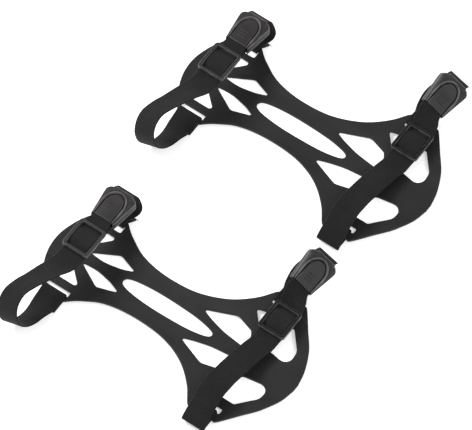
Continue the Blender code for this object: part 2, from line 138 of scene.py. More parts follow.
soft_lamp("key", (-0.72, -0.05, 0.75), 0.5, 8.5, aim=(-0.05, 0.0, 0.0))
soft_lamp("fill", (1.2, -0.1, 1.35), 0.9, 11.0)


# %% [markdown]
# ## Putting numbers into meshes
#
# A surface is an array of points and an array of faces.  `piece` writes both
# at once, turns the faces outwards, and can carry two helpers for the
# materials: a UV map named "run" that follows a strap, and an attribute named
# "edge" that is one on a rounded edge and nought elsewhere.

# %% Meshes from arrays
def grid_faces(rows, columns, wrap_rows=False, wrap_columns=False):
    """Four-sided faces of a grid of points that is numbered row by row."""
    r = np.arange(rows if wrap_rows else rows - 1)[:, None]
    c = np.arange(columns if wrap_columns else columns - 1)[None]
    r2, c2 = (r + 1) % rows, (c + 1) % columns
    corners = [r * columns + c, r * columns + c2, r2 * columns + c2, r2 * columns + c]
    return np.stack(corners, axis=-1).reshape(-1, 4)


def piece(name, points, faces, finish, run=None, edge=None):
    """A smooth mesh object from points in metres, at the scene's origin."""
    mesh = bpy.data.meshes.new(name)
    mesh.from_pydata(np.asarray(points).tolist(), [], [list(map(int, f)) for f in faces])
    if run is not None:
        layer = mesh.uv_layers.new(name="run")
        corner = np.empty(len(mesh.loops), int)
        mesh.loops.foreach_get("vertex_index", corner)
        layer.data.foreach_set("uv", np.asarray(run)[corner].ravel())
    marks = mesh.attributes.new("edge", "FLOAT", "POINT")
    marks.data.foreach_set("value", np.zeros(len(points)) if edge is None else np.asarray(edge, float))
    tidy = bmesh.new()
    tidy.from_mesh(mesh)
    bmesh.ops.recalc_face_normals(tidy, faces=tidy.faces)
    tidy.to_mesh(mesh)
    tidy.free()
    mesh.polygons.foreach_set("use_smooth", np.ones(len(mesh.polygons), bool))
    mesh.materials.append(finish)
    made = bpy.data.objects.new(name, mesh)
    bpy.context.scene.collection.objects.link(made)
    return made


def joined(parts):
    """Several (points, faces, edge) as one, with the face numbers moved along."""
    points, faces, edges, start = [], [], [], 0
    for where, corners, edge in parts:
        points.append(where)
        edges.append(np.zeros(len(where)) if edge is None else edge)
        faces += [[start + int(i) for i in f] for f in corners]
        start += len(where)
    return np.vstack(points), faces, np.concatenate(edges)


def turned(points, spot):
    """Points of a buckle's own frame in the guard's frame: pitched about X, rolled about Y, and moved."""
    pitch, roll = math.radians(spot["pitch"]), math.radians(spot["roll"])
    x, y, z = np.asarray(points, float).T
    ahead = y * math.cos(pitch) - z * math.sin(pitch)
    up = y * math.sin(pitch) + z * math.cos(pitch)
    return np.column_stack([x * math.cos(roll) + up * math.sin(roll), ahead,
                            up * math.cos(roll) - x * math.sin(roll)]) + spot["buckle"]


def smooth_step(value, start, stop):
    """Nought before start, one after stop, and an even S between them."""
    t = np.clip((value - start) / (stop - start), 0, 1)
    return t * t * (3 - 2 * t)


# %% [markdown]
# ## Helpers for finishes
#
# A finish is a net of shader nodes.  `add` makes one node and fills its
# inputs, with plain values or with the outputs of nodes made before it.  An
# effect that several finishes share is a node group: it is built once, and
# each finish sets its own sizes and amounts.

# %% Node helpers
def add(tree, kind, inputs=None, **settings):
    """One node, with its settings, and inputs given as values or as outputs."""
    made = tree.nodes.new(kind)
    for key, value in settings.items():
        setattr(made, key, value)
    for key, value in (inputs or {}).items():
        if isinstance(value, bpy.types.NodeSocket):
            tree.links.new(value, made.inputs[key])
        else:
            made.inputs[key].default_value = value
    return made


def maths(tree, operation, first, second=0.0, third=0.0):
    """The output of one Math node."""
    return add(tree, "ShaderNodeMath", {0: first, 1: second, 2: third}, operation=operation).outputs[0]


def mixed(tree, factor, first, second):
    """The first colour turning into the second as the factor goes from nought to one."""
    made = add(tree, "ShaderNodeMix", {0: factor, 6: first, 7: second}, data_type="RGBA")
    return made.outputs[2]


def ranged(tree, value, low, high, to_low, to_high):
    """A value carried from one range to another, and held at its ends."""
    inputs = {"Value": value, "From Min": low, "From Max": high, "To Min": to_low, "To Max": to_high}
    return add(tree, "ShaderNodeMapRange", inputs).outputs[0]


def node_group(name, inputs, outputs):
    """An empty group with named sockets, and its two end nodes."""
    made = bpy.data.node_groups.new(name, "ShaderNodeTree")
    for label, kind, value in inputs:
        socket = made.interface.new_socket(label, in_out="INPUT", socket_type=kind)
        if value is not None:
            socket.default_value = value
    for label in outputs:
        made.interface.new_socket(label, in_out="OUTPUT", socket_type="NodeSocketFloat")
    return made, made.nodes.new("NodeGroupInput"), made.nodes.new("NodeGroupOutput")


def use(tree, group, inputs):
    """A node that holds a group, with the group's inputs filled."""
    return add(tree, "ShaderNodeGroup", inputs, node_tree=group)


def new_finish(name):
    """An empty material: itself, its net of nodes, its shader and the place on the object."""
    made = bpy.data.materials.new(name)
    made.use_nodes = True
    tree = made.node_tree
    return made, tree, tree.nodes["Principled BSDF"], add(tree, "ShaderNodeTexCoord").outputs["Object"]


VECTOR, FLOAT = "NodeSocketVector", "NodeSocketFloat"


# %% [markdown]
# ## Grain, painted edge highlights and dust
#
# A moulded black part is never one colour.  The mould leaves a fine grain,
# the mix has faint clouds in it, its rounded edges are painted lighter, a
# painted highlight that is partly wear, and loose dust lies on what faces up.
# Each of these is a group that puts out a mask from nought to one.  Grain and
# clouds are noise at two sizes on object coordinates, so they do not stretch over corners.

# %% The moulded grain
grain_group, start, end = node_group(
    "moulded_grain", [("Place", VECTOR, None), ("Grain Size", FLOAT, 0.5), ("Cloud Size", FLOAT, 20.0)],
    ["Height", "Clouds"])
grain_scale = maths(grain_group, "DIVIDE", 1000.0, start.outputs["Grain Size"])
cloud_scale = maths(grain_group, "DIVIDE", 1000.0, start.outputs["Cloud Size"])
pores = add(grain_group, "ShaderNodeTexNoise",
            {"Vector": start.outputs["Place"], "Scale": grain_scale, "Detail": 2.0, "Roughness": 0.6})
pits = add(grain_group, "ShaderNodeTexVoronoi", {"Vector": start.outputs["Place"], "Scale": grain_scale},
           feature="SMOOTH_F1")
clouds = add(grain_group, "ShaderNodeTexNoise",
             {"Vector": start.outputs["Place"], "Scale": cloud_scale, "Detail": 4.0, "Roughness": 0.55})
height = maths(grain_group, "ADD", maths(grain_group, "MULTIPLY", pores.outputs[0], 0.6),
               maths(grain_group, "MULTIPLY", pits.outputs["Distance"], 0.4))
grain_group.links.new(height, end.inputs["Height"])
grain_group.links.new(ranged(grain_group, clouds.outputs[0], 0.3, 0.7, 0.0, 1.0), end.inputs["Clouds"])

# %% Painted edge highlights with wear, and dust
edge_group, start, end = node_group(
    "lit_and_worn_edges", [("Place", VECTOR, None), ("Patch Size", FLOAT, 4.0), ("Amount", FLOAT, 1.0)], ["Mask"])
rim_mark = add(edge_group, "ShaderNodeAttribute", attribute_name="edge")
patch_scale = maths(edge_group, "DIVIDE", 1000.0, start.outputs["Patch Size"])
patches = add(edge_group, "ShaderNodeTexNoise",
              {"Vector": start.outputs["Place"], "Scale": patch_scale, "Detail": 3.0})
broken = ranged(edge_group, patches.outputs[0], 0.35, 0.65, 0.45, 1.0)
# the edge mask: a painted highlight, partly wear, on moulded rims, and the frayed cut on straps
lit_and_worn = maths(edge_group, "MULTIPLY", maths(edge_group, "MULTIPLY", rim_mark.outputs["Fac"], broken),
             start.outputs["Amount"])
edge_group.links.new(lit_and_worn, end.inputs["Mask"])

dust_group, start, end = node_group(
    "loose_dust", [("Place", VECTOR, None), ("Speck Size", FLOAT, 0.6), ("Amount", FLOAT, 0.2)], ["Mask"])
speck_scale = maths(dust_group, "DIVIDE", 1000.0, start.outputs["Speck Size"])
specks = add(dust_group, "ShaderNodeTexNoise",
             {"Vector": start.outputs["Place"], "Scale": speck_scale, "Detail": 2.0})
veil = add(dust_group, "ShaderNodeTexNoise", {"Vector": start.outputs["Place"], "Scale": 35.0, "Detail": 3.0})
surface = add(dust_group, "ShaderNodeNewGeometry")
facing = add(dust_group, "ShaderNodeSeparateXYZ", {0: surface.outputs["Normal"]})
upward = ranged(dust_group, facing.outputs["Z"], 0.2, 0.9, 0.0, 1.0)
lying = maths(dust_group, "ADD", ranged(dust_group, specks.outputs[0], 0.62, 0.74, 0.0, 1.0),
              ranged(dust_group, veil.outputs[0], 0.4, 0.75, 0.0, 0.6))
dusty = maths(dust_group, "MULTIPLY", maths(dust_group, "MULTIPLY", lying, upward), start.outputs["Amount"])
dust_group.links.new(dusty, end.inputs["Mask"])
print("groups", grain_group.name, edge_group.name, dust_group.name)


# %% [markdown]
# ## Rubber and plastic
#
# The plate is a matt rubber-like plastic.  The buckles and sliders are acetal
# with a spark-eroded grain, a little smoother.  The rounded edges of all of
# them are painted in a lighter colour, a painted highlight that is partly
# wear, so they show as thin pale lines.  One function makes all of them: dark
# and cloud colours, the colour of the painted edge highlight, the grain's
# size and the gloss.  The wide end's sliders get a darker and duller copy of
# the acetal, whose darker colour is painted shade.

# %% Moulded finishes
def moulded_finish(name, dark, cloudy, lit_and_rubbed, rough, grain, depth, wear, dust, gloss=0.25):
    """Moulded plastic: clouded colour, a painted highlight on the rounded edges that is partly wear, and
    dust, over a grain of a size and depth in mm.
    """
    made, tree, shader, place = new_finish(name)
    skin = use(tree, grain_group, {"Place": place, "Grain Size": grain, "Cloud Size": grain * 60})
    # wear sets how strong the painted edge highlight, with its wear, is
    edges = use(tree, edge_group, {"Place": place, "Patch Size": 5.0, "Amount": wear})
    grime = use(tree, dust_group, {"Place": place, "Speck Size": 0.5, "Amount": dust})
    base = mixed(tree, skin.outputs["Clouds"], (*dark, 1), (*cloudy, 1))
    # the rounded edges turn to the edge colour: a painted highlight, partly wear
    base = mixed(tree, edges.outputs["Mask"], base, (*lit_and_rubbed, 1))
    base = mixed(tree, grime.outputs["Mask"], base, (0.22, 0.20, 0.18, 1))
    tree.links.new(base, shader.inputs["Base Color"])
    shader.inputs["Specular IOR Level"].default_value = gloss
    matt = ranged(tree, skin.outputs["Height"], 0.2, 0.7, rough + 0.07, rough - 0.07)
    shine = maths(tree, "MULTIPLY", edges.outputs["Mask"], 0.12)
    tree.links.new(maths(tree, "SUBTRACT", matt, shine), shader.inputs["Roughness"])
    bump = add(tree, "ShaderNodeBump", {"Strength": 0.35, "Distance": depth * MM,
                                        "Height": skin.outputs["Height"]})
    tree.links.new(bump.outputs[0], shader.inputs["Normal"])
    return made


# the third colour of each finish is the painted highlight on its rounded edges, partly wear
plate_rubber = moulded_finish("plate_rubber", (0.0105, 0.0094, 0.0098), (0.0140, 0.0126, 0.0131),
                              (0.034, 0.032, 0.033), 0.62, 0.40, 0.10, 0.6, 0.03)
buckle_acetal = moulded_finish("buckle_acetal", (0.0150, 0.0138, 0.0142), (0.0200, 0.0184, 0.0190),
                               (0.150, 0.142, 0.144), 0.50, 0.30, 0.06, 0.8, 0.05)
slider_acetal = moulded_finish("slider_acetal", (0.0150, 0.0138, 0.0144), (0.0215, 0.0200, 0.0210),
                               (0.125, 0.120, 0.124), 0.45, 0.30, 0.05, 0.9, 0.04)
# a darker copy of the slider acetal for the wide end: painted shade
shaded_slider_acetal = moulded_finish("shaded_slider_acetal", (0.0062, 0.0058, 0.0060), (0.0095, 0.0090, 0.0092),
                                    (0.120, 0.115, 0.117), 0.42, 0.30, 0.05, 0.9, 0.03, gloss=0.1)
print("moulded finishes", plate_rubber.name, buckle_acetal.name, slider_acetal.name, shaded_slider_acetal.name)

# %% [markdown]
# ## Elastic webbing
#
# The straps are woven elastic: cords of rubber run along the strap and make
# its ribs, and fine picks of yarn cross them.  The ribs are shaped in the
# mesh.  The picks, half a millimetre apart, are a bump on the UV map "run",
# whose first number is millimetres across the strap and second millimetres
# along it.  Each rib's picks are set half a step from its neighbour's, as in
# a real weave.  The narrow end's straps are worn flatter than the wide end's,
# so there is a second finish in which the weave shows less.

# %% The weave
RIB_PITCH = 1.95

weave_group, start, end = node_group(
    "woven_picks", [("Run", VECTOR, None), ("Rib Pitch", FLOAT, RIB_PITCH), ("Pick Pitch", FLOAT, 0.55)],
    ["Height", "Groove", "Yarn"])
run = add(weave_group, "ShaderNodeSeparateXYZ", {0: start.outputs["Run"]})
rib = maths(weave_group, "DIVIDE", run.outputs["X"], start.outputs["Rib Pitch"])
pick = maths(weave_group, "DIVIDE", run.outputs["Y"], start.outputs["Pick Pitch"])
stagger = maths(weave_group, "MULTIPLY", maths(weave_group, "FLOOR", rib), 0.5)
turns = maths(weave_group, "MULTIPLY", maths(weave_group, "ADD", pick, stagger), math.tau)
wave = maths(weave_group, "SINE", turns)
half_turns = maths(weave_group, "MULTIPLY", rib, math.pi)
crown = maths(weave_group, "ABSOLUTE", maths(weave_group, "SINE", half_turns))
stretched = add(weave_group, "ShaderNodeCombineXYZ", {"X": maths(weave_group, "MULTIPLY", rib, 6.0),
                                                      "Y": maths(weave_group, "MULTIPLY", pick, 0.25)})
fibres = add(weave_group, "ShaderNodeTexNoise",
             {"Vector": stretched.outputs[0], "Scale": 1.0, "Detail": 3.0})
weave_group.links.new(maths(weave_group, "ADD", maths(weave_group, "MULTIPLY", wave, 0.3),
                            maths(weave_group, "MULTIPLY", crown, 0.7)), end.inputs["Height"])
weave_group.links.new(ranged(weave_group, crown, 0.15, 0.6, 1.0, 0.0), end.inputs["Groove"])
weave_group.links.new(ranged(weave_group, fibres.outputs[0], 0.3, 0.7, 0.0, 1.0), end.inputs["Yarn"])


# %% Woven finishes
def woven_finish(name, yarn, light, groove_shade, rough, sheen, ribbed):
    """Woven elastic: two shades of yarn, painted shade in the grooves between ribs, and how far the weave
    shows, up to one.
    """
    made, tree, shader, place = new_finish(name)
    weave = use(tree, weave_group, {"Run": add(tree, "ShaderNodeUVMap", uv_map="run").outputs[0]})
    grime = use(tree, dust_group, {"Place": place, "Speck Size": 0.35, "Amount": 0.03})
    wear = use(tree, grain_group, {"Place": place, "Grain Size": 0.4, "Cloud Size": 7.0})
    fuzz = maths(tree, "MULTIPLY", maths(tree, "ADD", weave.outputs["Yarn"], wear.outputs["Clouds"]), 0.5)
    base = mixed(tree, fuzz, (*yarn, 1), (*light, 1))
    # painted shade: the grooves between the ribs are darkened to the groove colour
    base = mixed(tree, maths(tree, "MULTIPLY", weave.outputs["Groove"], ribbed), base, (*groove_shade, 1))
    base = mixed(tree, grime.outputs["Mask"], base, (0.20, 0.18, 0.17, 1))
    ends = use(tree, edge_group, {"Place": place, "Patch Size": 1.5, "Amount": 0.8})
    base = mixed(tree, ends.outputs["Mask"], base, (0.085, 0.073, 0.064, 1))
    tree.links.new(base, shader.inputs["Base Color"])
    tree.links.new(ranged(tree, weave.outputs["Yarn"], 0.0, 1.0, rough + 0.06, rough - 0.06),
                   shader.inputs["Roughness"])
    shader.inputs["Specular IOR Level"].default_value = 0.2
    shader.inputs["Sheen Weight"].default_value = sheen
    shader.inputs["Sheen Roughness"].default_value = 0.5
    picks = maths(tree, "MULTIPLY", weave.outputs["Height"], ribbed)
    relief = maths(tree, "ADD", picks, wear.outputs["Height"])
    bump = add(tree, "ShaderNodeBump", {"Strength": 0.6, "Distance": 0.13 * MM, "Height": relief})
    tree.links.new(bump.outputs[0], shader.inputs["Normal"])
    return made


YARN, WORN_YARN, RIB_GROOVE_SHADE = (0.0052, 0.0049, 0.0051), (0.0118, 0.0110, 0.0113), (0.003, 0.003, 0.003)
elastic_webbing = woven_finish("elastic_webbing", YARN, WORN_YARN, RIB_GROOVE_SHADE, 0.82, 0.06, 1.0)
flat_webbing = woven_finish("flat_webbing", YARN, WORN_YARN, RIB_GROOVE_SHADE, 0.84, 0.07, 0.3)


def yarn_finish(name, dark, light, rough):
    """Loose or sewn yarn: two shades in short streaks, from the grain group."""
    made, tree, shader, place = new_finish(name)
    fibre = use(tree, grain_group, {"Place": place, "Grain Size": 0.25, "Cloud Size": 1.2})
    tree.links.new(mixed(tree, fibre.outputs["Clouds"], (*dark, 1), (*light, 1)), shader.inputs["Base Color"])
    tree.links.new(ranged(tree, fibre.outputs["Height"], 0.2, 0.7, rough + 0.1, rough - 0.1),
                   shader.inputs["Roughness"])
    shader.inputs["Specular IOR Level"].default_value = 0.25
    return made


sewing_thread = yarn_finish("sewing_thread", (0.012, 0.012, 0.012), (0.032, 0.030, 0.030), 0.65)
frayed_yarn = yarn_finish("frayed_yarn", (0.018, 0.016, 0.015), (0.090, 0.076, 0.064), 0.8)
print("woven finishes", elastic_webbing.name, flat_webbing.name, sewing_thread.name, frayed_yarn.name)


# %% [markdown]
# ## Curves in a plane
#
# The outlines are given by the corners and the flowing points that a maker
# would mark on a template.  `flowing` runs a Catmull-Rom curve through marks,
# and `rounded` turns corners with tangent arcs.

# %% Outline helpers
def arc(cx, cy, radius, start, stop, steps):
    """Points on a circle, from one angle in degrees to another."""
    angles = np.radians(np.linspace(start, stop, steps + 1))
    return np.column_stack([cx + radius * np.cos(angles), cy + radius * np.sin(angles)])


def flowing(points, steps):
    """A Catmull-Rom curve through the points: each span is a cubic that keeps its neighbours' directions."""
    rows = np.array(points, float)
    ends = np.vstack([2 * rows[0] - rows[1], rows, 2 * rows[-1] - rows[-2]])
    a, b, c, d = (ends[i:len(ends) - 3 + i][:, None] for i in range(4))
    t = np.linspace(0, 1, steps, endpoint=False)[None, :, None]
    spans = 0.5 * (2 * b + (c - a) * t + (2 * a - 5 * b + 4 * c - d) * t ** 2
                   + (3 * b - 3 * c + d - a) * t ** 3)
    return np.vstack([spans.reshape(-1, rows.shape[1]), rows[-1:]])


def rounded(corners, radius, steps=6):
    """A closed outline with tangent arcs at its corners; a corner may name its own radius."""
    out = []
    for i, corner in enumerate(corners):
        here = np.array(corner[:2], float)
        r = corner[2] if len(corner) > 2 else radius
        before = np.array(corners[i - 1][:2], float) - here
        after = np.array(corners[(i + 1) % len(corners)][:2], float) - here
        before, after = before / np.linalg.norm(before), after / np.linalg.norm(after)
        half = math.acos(np.clip(before @ after, -1, 1)) / 2
        middle = before + after
        centre = here + middle / np.linalg.norm(middle) * r / math.sin(half)
        first = here + before * r / math.tan(half) - centre
        last = here + after * r / math.tan(half) - centre
        a0 = math.atan2(first[1], first[0])
        sweep = (math.atan2(last[1], last[0]) - a0 + math.pi) % math.tau - math.pi
        angles = a0 + sweep * np.linspace(0, 1, steps + 1)
        out.append(np.column_stack([centre[0] + r * np.cos(angles), centre[1] + r * np.sin(angles)]))
    return np.vstack(out)


def mirrored(points):
    """The outline on the other side of the X axis, run the same way round."""
    return np.asarray(points)[::-1] * (1, -1)


def even(loop, step):
    """The closed loop with points added, so that none are further apart than the step."""
    loop = np.asarray(loop, float)
    nxt = np.roll(loop, -1, axis=0)
    counts = np.maximum(1, np.ceil(np.linalg.norm(nxt - loop, axis=1) / step)).astype(int)
    index = np.repeat(np.arange(len(loop)), counts)
    share = np.concatenate([np.arange(n) / n for n in counts])[:, None]
    return loop[index] * (1 - share) + nxt[index] * share


# %% [markdown]
# ## One sheet with rounded rims
#
# The plate, the sliders and the buckle's tongue are all the same kind of
# thing: material of one thickness, cut to an outline and to some holes, with
# every rim rounded.  The rims are a quarter-round profile carried along each
# loop.  What is left between the innermost rings is flat, and a Delaunay
# triangulation fills it.

# %% Rounded sheets
def signed_area(loop):
    """A loop's area, below nought when it runs clockwise."""
    nxt = np.roll(loop, -1, axis=0)
    return 0.5 * np.sum(loop[:, 0] * nxt[:, 1] - nxt[:, 0] * loop[:, 1])


def inside(points, loop):
    """Which points lie in the loop, by counting the edges crossed on the way out."""
    x, y = points[:, 0][:, None], points[:, 1][:, None]
    nxt = np.roll(loop, -1, axis=0)
    spans = (loop[:, 1] > y) != (nxt[:, 1] > y)
    rise = np.where(nxt[:, 1] == loop[:, 1], 1.0, nxt[:, 1] - loop[:, 1])
    crossing = loop[:, 0] + (y - loop[:, 1]) / rise * (nxt[:, 0] - loop[:, 0])
    return (np.sum(spans & (x < crossing), axis=1) % 2) == 1


def distance_to(points, loop):
    """Each point's distance to the loop's nearest side."""
    nxt = np.roll(loop, -1, axis=0)[None]
    here = loop[None]
    share = np.clip(np.sum((points[:, None] - here) * (nxt - here), 2) / np.sum((nxt - here) ** 2, 2), 0, 1)
    return np.min(np.linalg.norm(points[:, None] - here - share[..., None] * (nxt - here), axis=2), axis=1)


def rounded_sheet(outer, holes, low, high, radius, grid=None, lift=None, steps=4):
    """A sheet between two heights whose rims are rounded by a radius.

    Each ring of a rim is the loop moved into the material by
    radius * (1 - cos a), at a height of radius * sin a past the middle, as a
    goes from 90 to -90 degrees.  `lift` gives a height to add at each (x, y),
    and `grid` gives loose points that make the flat part fine enough to bend.
    """
    loops = [outer if signed_area(outer) > 0 else outer[::-1]]
    loops += [hole if signed_area(hole) < 0 else hole[::-1] for hole in holes]
    angles = np.radians(np.linspace(90, 0, steps + 1))
    inset = radius * (1 - np.cos(angles))
    heights = high - radius + radius * np.sin(angles)
    margin = radius + 0.45
    inset = np.concatenate([[margin], inset, inset[::-1], [margin]])
    heights = np.concatenate([[high], heights, (low + high - heights)[::-1], [low]])
    # shine marks the rims for the painted edge highlight
    shine = np.concatenate([[0], np.cos(angles), np.cos(angles)[::-1], [0]])
    parts, flats = [], []
    for loop in loops:
        ahead = np.roll(loop, -1, axis=0) - np.roll(loop, 1, axis=0)
        ahead /= np.linalg.norm(ahead, axis=1)[:, None]
        inward = np.column_stack([-ahead[:, 1], ahead[:, 0]])
        rings = loop[None] + inset[:, None, None] * inward[None]
        points = np.concatenate([rings, np.broadcast_to(heights[:, None, None], rings.shape[:2] + (1,))], 2)
        marks = np.repeat(shine, len(loop))
        parts.append((points.reshape(-1, 3), grid_faces(len(inset), len(loop), wrap_columns=True), marks))
        flats.append(rings[0])
    points, faces, marks = joined(parts)
    top, bottom, edges, start, row_start = [], [], [], 0, 0
    for loop, flat in zip(loops, flats):
        n = len(loop)
        top.append(start + np.arange(n))
        bottom.append(start + (len(inset) - 1) * n + np.arange(n))
        edges += [(row_start + i, row_start + (i + 1) % n) for i in range(n)]
        start += len(inset) * n
        row_start += n
    loose = np.empty((0, 2))
    if grid is not None:
        keep = inside(grid, flats[0]) & (distance_to(grid, flats[0]) > 0.8)
        for flat in flats[1:]:
            keep &= ~inside(grid, flat) & (distance_to(grid, flat) > 0.8)
        loose = grid[keep]
    sheet = np.vstack(flats + [loose])
    flat_points, _, fill, from_points, *_ = delaunay_2d_cdt([Vector(p) for p in sheet], edges, [], 0, 1e-7)
    flat_points = np.array([tuple(p) for p in flat_points])
    source = np.array([ids[0] if ids else np.argmin(np.linalg.norm(sheet - p, axis=1))
                       for p, ids in zip(flat_points, from_points)])
    fill = source[np.array([list(f) for f in fill])]
    middles = sheet[fill].mean(axis=1)
    solid = inside(middles, flats[0])
    for flat in flats[1:]:
        solid &= ~inside(middles, flat)
    fill = fill[solid]
    count = len(points)
    extra = np.column_stack([loose, np.full(len(loose), high)])
    extra_low = np.column_stack([loose, np.full(len(loose), low)])
    top = np.concatenate(top + [count + np.arange(len(loose))])
    bottom = np.concatenate(bottom + [count + len(loose) + np.arange(len(loose))])
    points = np.vstack([points, extra, extra_low])
    marks = np.concatenate([marks, np.zeros(2 * len(loose))])
    faces += top[fill].tolist() + bottom[fill][:, ::-1].tolist()
    if lift is not None:
        points[:, 2] += lift(points[:, 0], points[:, 1])
    return points, faces, marks


# %% [markdown]
# ## The plate
#
# Seen flat, the plate is an hourglass with wide ears at one end.  A leaf-shaped
# vent runs down its middle and pairs of vents fan out from it.  The ears curl
# up a little towards their slots, so that a strap can pass under the bar.
# The outline is drawn for one side and mirrored.  So are the vents, but each
# side has its own size of slot, because the two sides' straps differ.

# %% The plate's template
PLATE_THICK = 2.0
EAR_LIFT, LIFT_FROM, LIFT_TO = 1.8, 14.0, 28.0
RIM = 0.55
OUTLINE_STEP = 2.5


def plate_outline():
    """The hourglass: a round narrow end, its ear, the waist, the wide ear and the wide end."""
    half = [arc(-16.5, 0, 45.0, 180, 148, 24),
            flowing([(-51.2, 29.4), (-47.0, 36.0), (-44.8, 39.6), (-41.8, 41.0)], 6),
            flowing([(-26.6, 41.0), (-24.2, 40.2), (-18.4, 35.2), (-11.7, 30.8), (-1.4, 25.2), (12.0, 21.8),
                     (28.0, 20.6), (45.0, 21.6), (58.0, 24.6), (70.0, 29.6), (80.0, 36.2), (90.0, 45.8),
                     (97.4, 56.0), (100.4, 58.0)], 10),
            flowing([(121.2, 58.0), (124.2, 56.8), (135.0, 42.8), (145.0, 29.6), (151.5, 15.0),
                     (154.2, 3.0)], 10)]
    half = np.vstack(half)
    return even(np.vstack([half, mirrored(half[1:])]), OUTLINE_STEP)


def leaf_vent():
    """The long vent on the plate's middle line, pointed at both ends."""
    half = flowing([(0, 0), (2.2, 3.1), (10, 5.3), (25, 6.7), (42, 6.8), (60, 6.0), (72, 4.2),
                    (78, 2.2), (79.5, 0)], 8)
    return even(np.vstack([half[:-1], mirrored(half[1:])]), OUTLINE_STEP)


def side_vents(narrow_near, wide_near, drop_tip):
    """One side's vents and slots, drawn on +Y: where the slots start, and how far the drop's tip goes."""
    narrow = rounded([(3.4, 10.6, 1.0), (-13.0, 16.1, 4.0), (-33.6, 5.0, 0.8), (-20.0, 4.0, 40.0),
                      (-6.0, 6.8, 30.0)], 1.0)
    corner = rounded([(-22.4, 24.9), (-36.0, 12.2), (-46.0, 14.2), (-48.0, 24.9)], 1.8)
    fan = rounded([(61.6, 14.4, 1.2), (86.3, 23.9, 6.0), (100.4, 19.8, 2.5), (106.0, 11.0, 3.0),
                   (103.2, 5.4, 1.6), (84.0, 7.6, 60.0), (72.0, 10.8, 40.0)], 1.0)
    drop = rounded([(drop_tip, 36.2, 1.2), (99.5, 38.0, 1.2), (126.0, 38.0, 2.0), (138.2, 24.0, 8.0),
                    (139.0, 10.6, 6.5), (118.0, 14.2, 6.0), (101.0, 28.2, 9.0)], 1.0)
    narrow_slot = rounded([(-46.0, narrow_near), (-24.2, narrow_near), (-24.2, 36.5), (-46.0, 36.5)], 1.2)
    wide_slot = rounded([(99.5, wide_near), (122.0, wide_near), (122.0, 51.0), (99.5, 51.0)], 1.2)
    return [even(loop, OUTLINE_STEP) for loop in (narrow, corner, fan, drop, narrow_slot, wide_slot)]


def curl(x, y):
    """Height added across the plate: flat in the middle, an S up to the ears."""
    return EAR_LIFT * smooth_step(np.abs(y), LIFT_FROM, LIFT_TO)


# %% Make both plates
vents = side_vents(29.9, 47.0, 94.0) + [mirrored(vent) for vent in side_vents(31.6, 46.2, 96.4)]
lines = np.concatenate([np.linspace(LIFT_FROM, LIFT_TO, 8), np.arange(31.0, 56.0, 5.0)])
lattice = np.stack(np.meshgrid(np.arange(-58.0, 153.0, 4.0), np.concatenate([-lines, [0, -7, 7], lines])),
                   axis=-1).reshape(-1, 2)
plate_points, plate_faces, plate_marks = rounded_sheet(
    plate_outline(), [leaf_vent()] + vents, 0.0, PLATE_THICK, RIM, grid=lattice, lift=curl)
for hand in HANDS:
    plate = piece(f"{hand}_moulded_plate", placed(plate_points, hand), plate_faces, plate_rubber,
                  edge=plate_marks)
    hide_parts(f"{hand}_plate")
    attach(plate, f"{hand}_guard")
print("plate", len(plate_points), "points", len(plate_faces), "faces")


# %% [markdown]
# ## Straps as profiles on a route
#
# A strap is a thin profile carried along a route.  The route is a list of
# rows: x, y, z of the strap's middle, its roll in degrees, half of its width,
# and its thickness.  `resampled` lays rows along a smooth curve through them,
# closer together where the strap turns sharply.  The profile has ribs on each
# face and thin edges, like elastic that is woven flat.

# %% A route and its frames
WEB, WEB_HALF = 1.2, 9.75
GAP = 0.3
LYING = 0.95  # height of a strap's middle where it lies just above the floor


def resampled(rows, pitch=1.1, turn=14.0):
    """Rows on one smooth curve through the given ones.

    Between two rows each column is the cubic with the rows' own slopes, and a
    row's slope is the mean of the slopes on its two sides, the nearer side
    weighing more.  New rows lie where length / pitch + turning / turn counts
    one more.
    """
    rows = np.asarray(rows, float)
    apart = np.linalg.norm(np.diff(rows[:, :3], axis=0), axis=1)
    rows = rows[np.concatenate([[True], apart > 0.02])]
    step = np.linalg.norm(np.diff(rows[:, :3], axis=0), axis=1)[:, None]
    slope = np.diff(rows, axis=0) / step
    tangent = np.vstack([slope[:1], (slope[:-1] * step[1:] + slope[1:] * step[:-1]) / (step[:-1] + step[1:]),
                         slope[-1:]])
    t = np.linspace(0, 1, 16, endpoint=False)[None, :, None]
    a, b = rows[:-1, None], rows[1:, None]
    da, db = (tangent[:-1] * step)[:, None], (tangent[1:] * step)[:, None]
    dense = ((2 * t ** 3 - 3 * t ** 2 + 1) * a + (t ** 3 - 2 * t ** 2 + t) * da
             + (3 * t ** 2 - 2 * t ** 3) * b + (t ** 3 - t ** 2) * db)
    dense = np.vstack([dense.reshape(-1, rows.shape[1]), rows[-1:]])
    moves = np.diff(dense[:, :3], axis=0)
    lengths = np.linalg.norm(moves, axis=1)
    units = moves / lengths[:, None]
    bends = np.degrees(np.arccos(np.clip(np.sum(units[1:] * units[:-1], axis=1), -1, 1)))
    measure = np.concatenate([[0], np.cumsum(lengths / pitch + np.concatenate([[0], bends]) / turn)])
    at = np.linspace(0, measure[-1], int(np.ceil(measure[-1])) + 1)
    return np.column_stack([np.interp(at, measure, column) for column in dense.T])


def strap_frames(rows):
    """The middle, the width's direction, the thickness's direction and the run of each row.

    The width lies along X turned by the roll.  The thickness is square to it
    and to the route.
    """
    centre, roll = rows[:, :3], np.radians(rows[:, 3])
    ahead = np.gradient(centre, axis=0)
    ahead /= np.linalg.norm(ahead, axis=1)[:, None]
    side = np.column_stack([np.cos(roll), np.zeros(len(rows)), np.sin(roll)])
    thick = np.cross(side, ahead)
    thick /= np.linalg.norm(thick, axis=1)[:, None]
    along = np.concatenate([[0], np.cumsum(np.linalg.norm(np.diff(centre, axis=0), axis=1))])
    return centre, side, thick, along


# %% The webbing's profile
RIBS = 10
RIB_STEPS = 6
RIB_DEPTH = {"narrow": 0.06, "wide": 0.12}


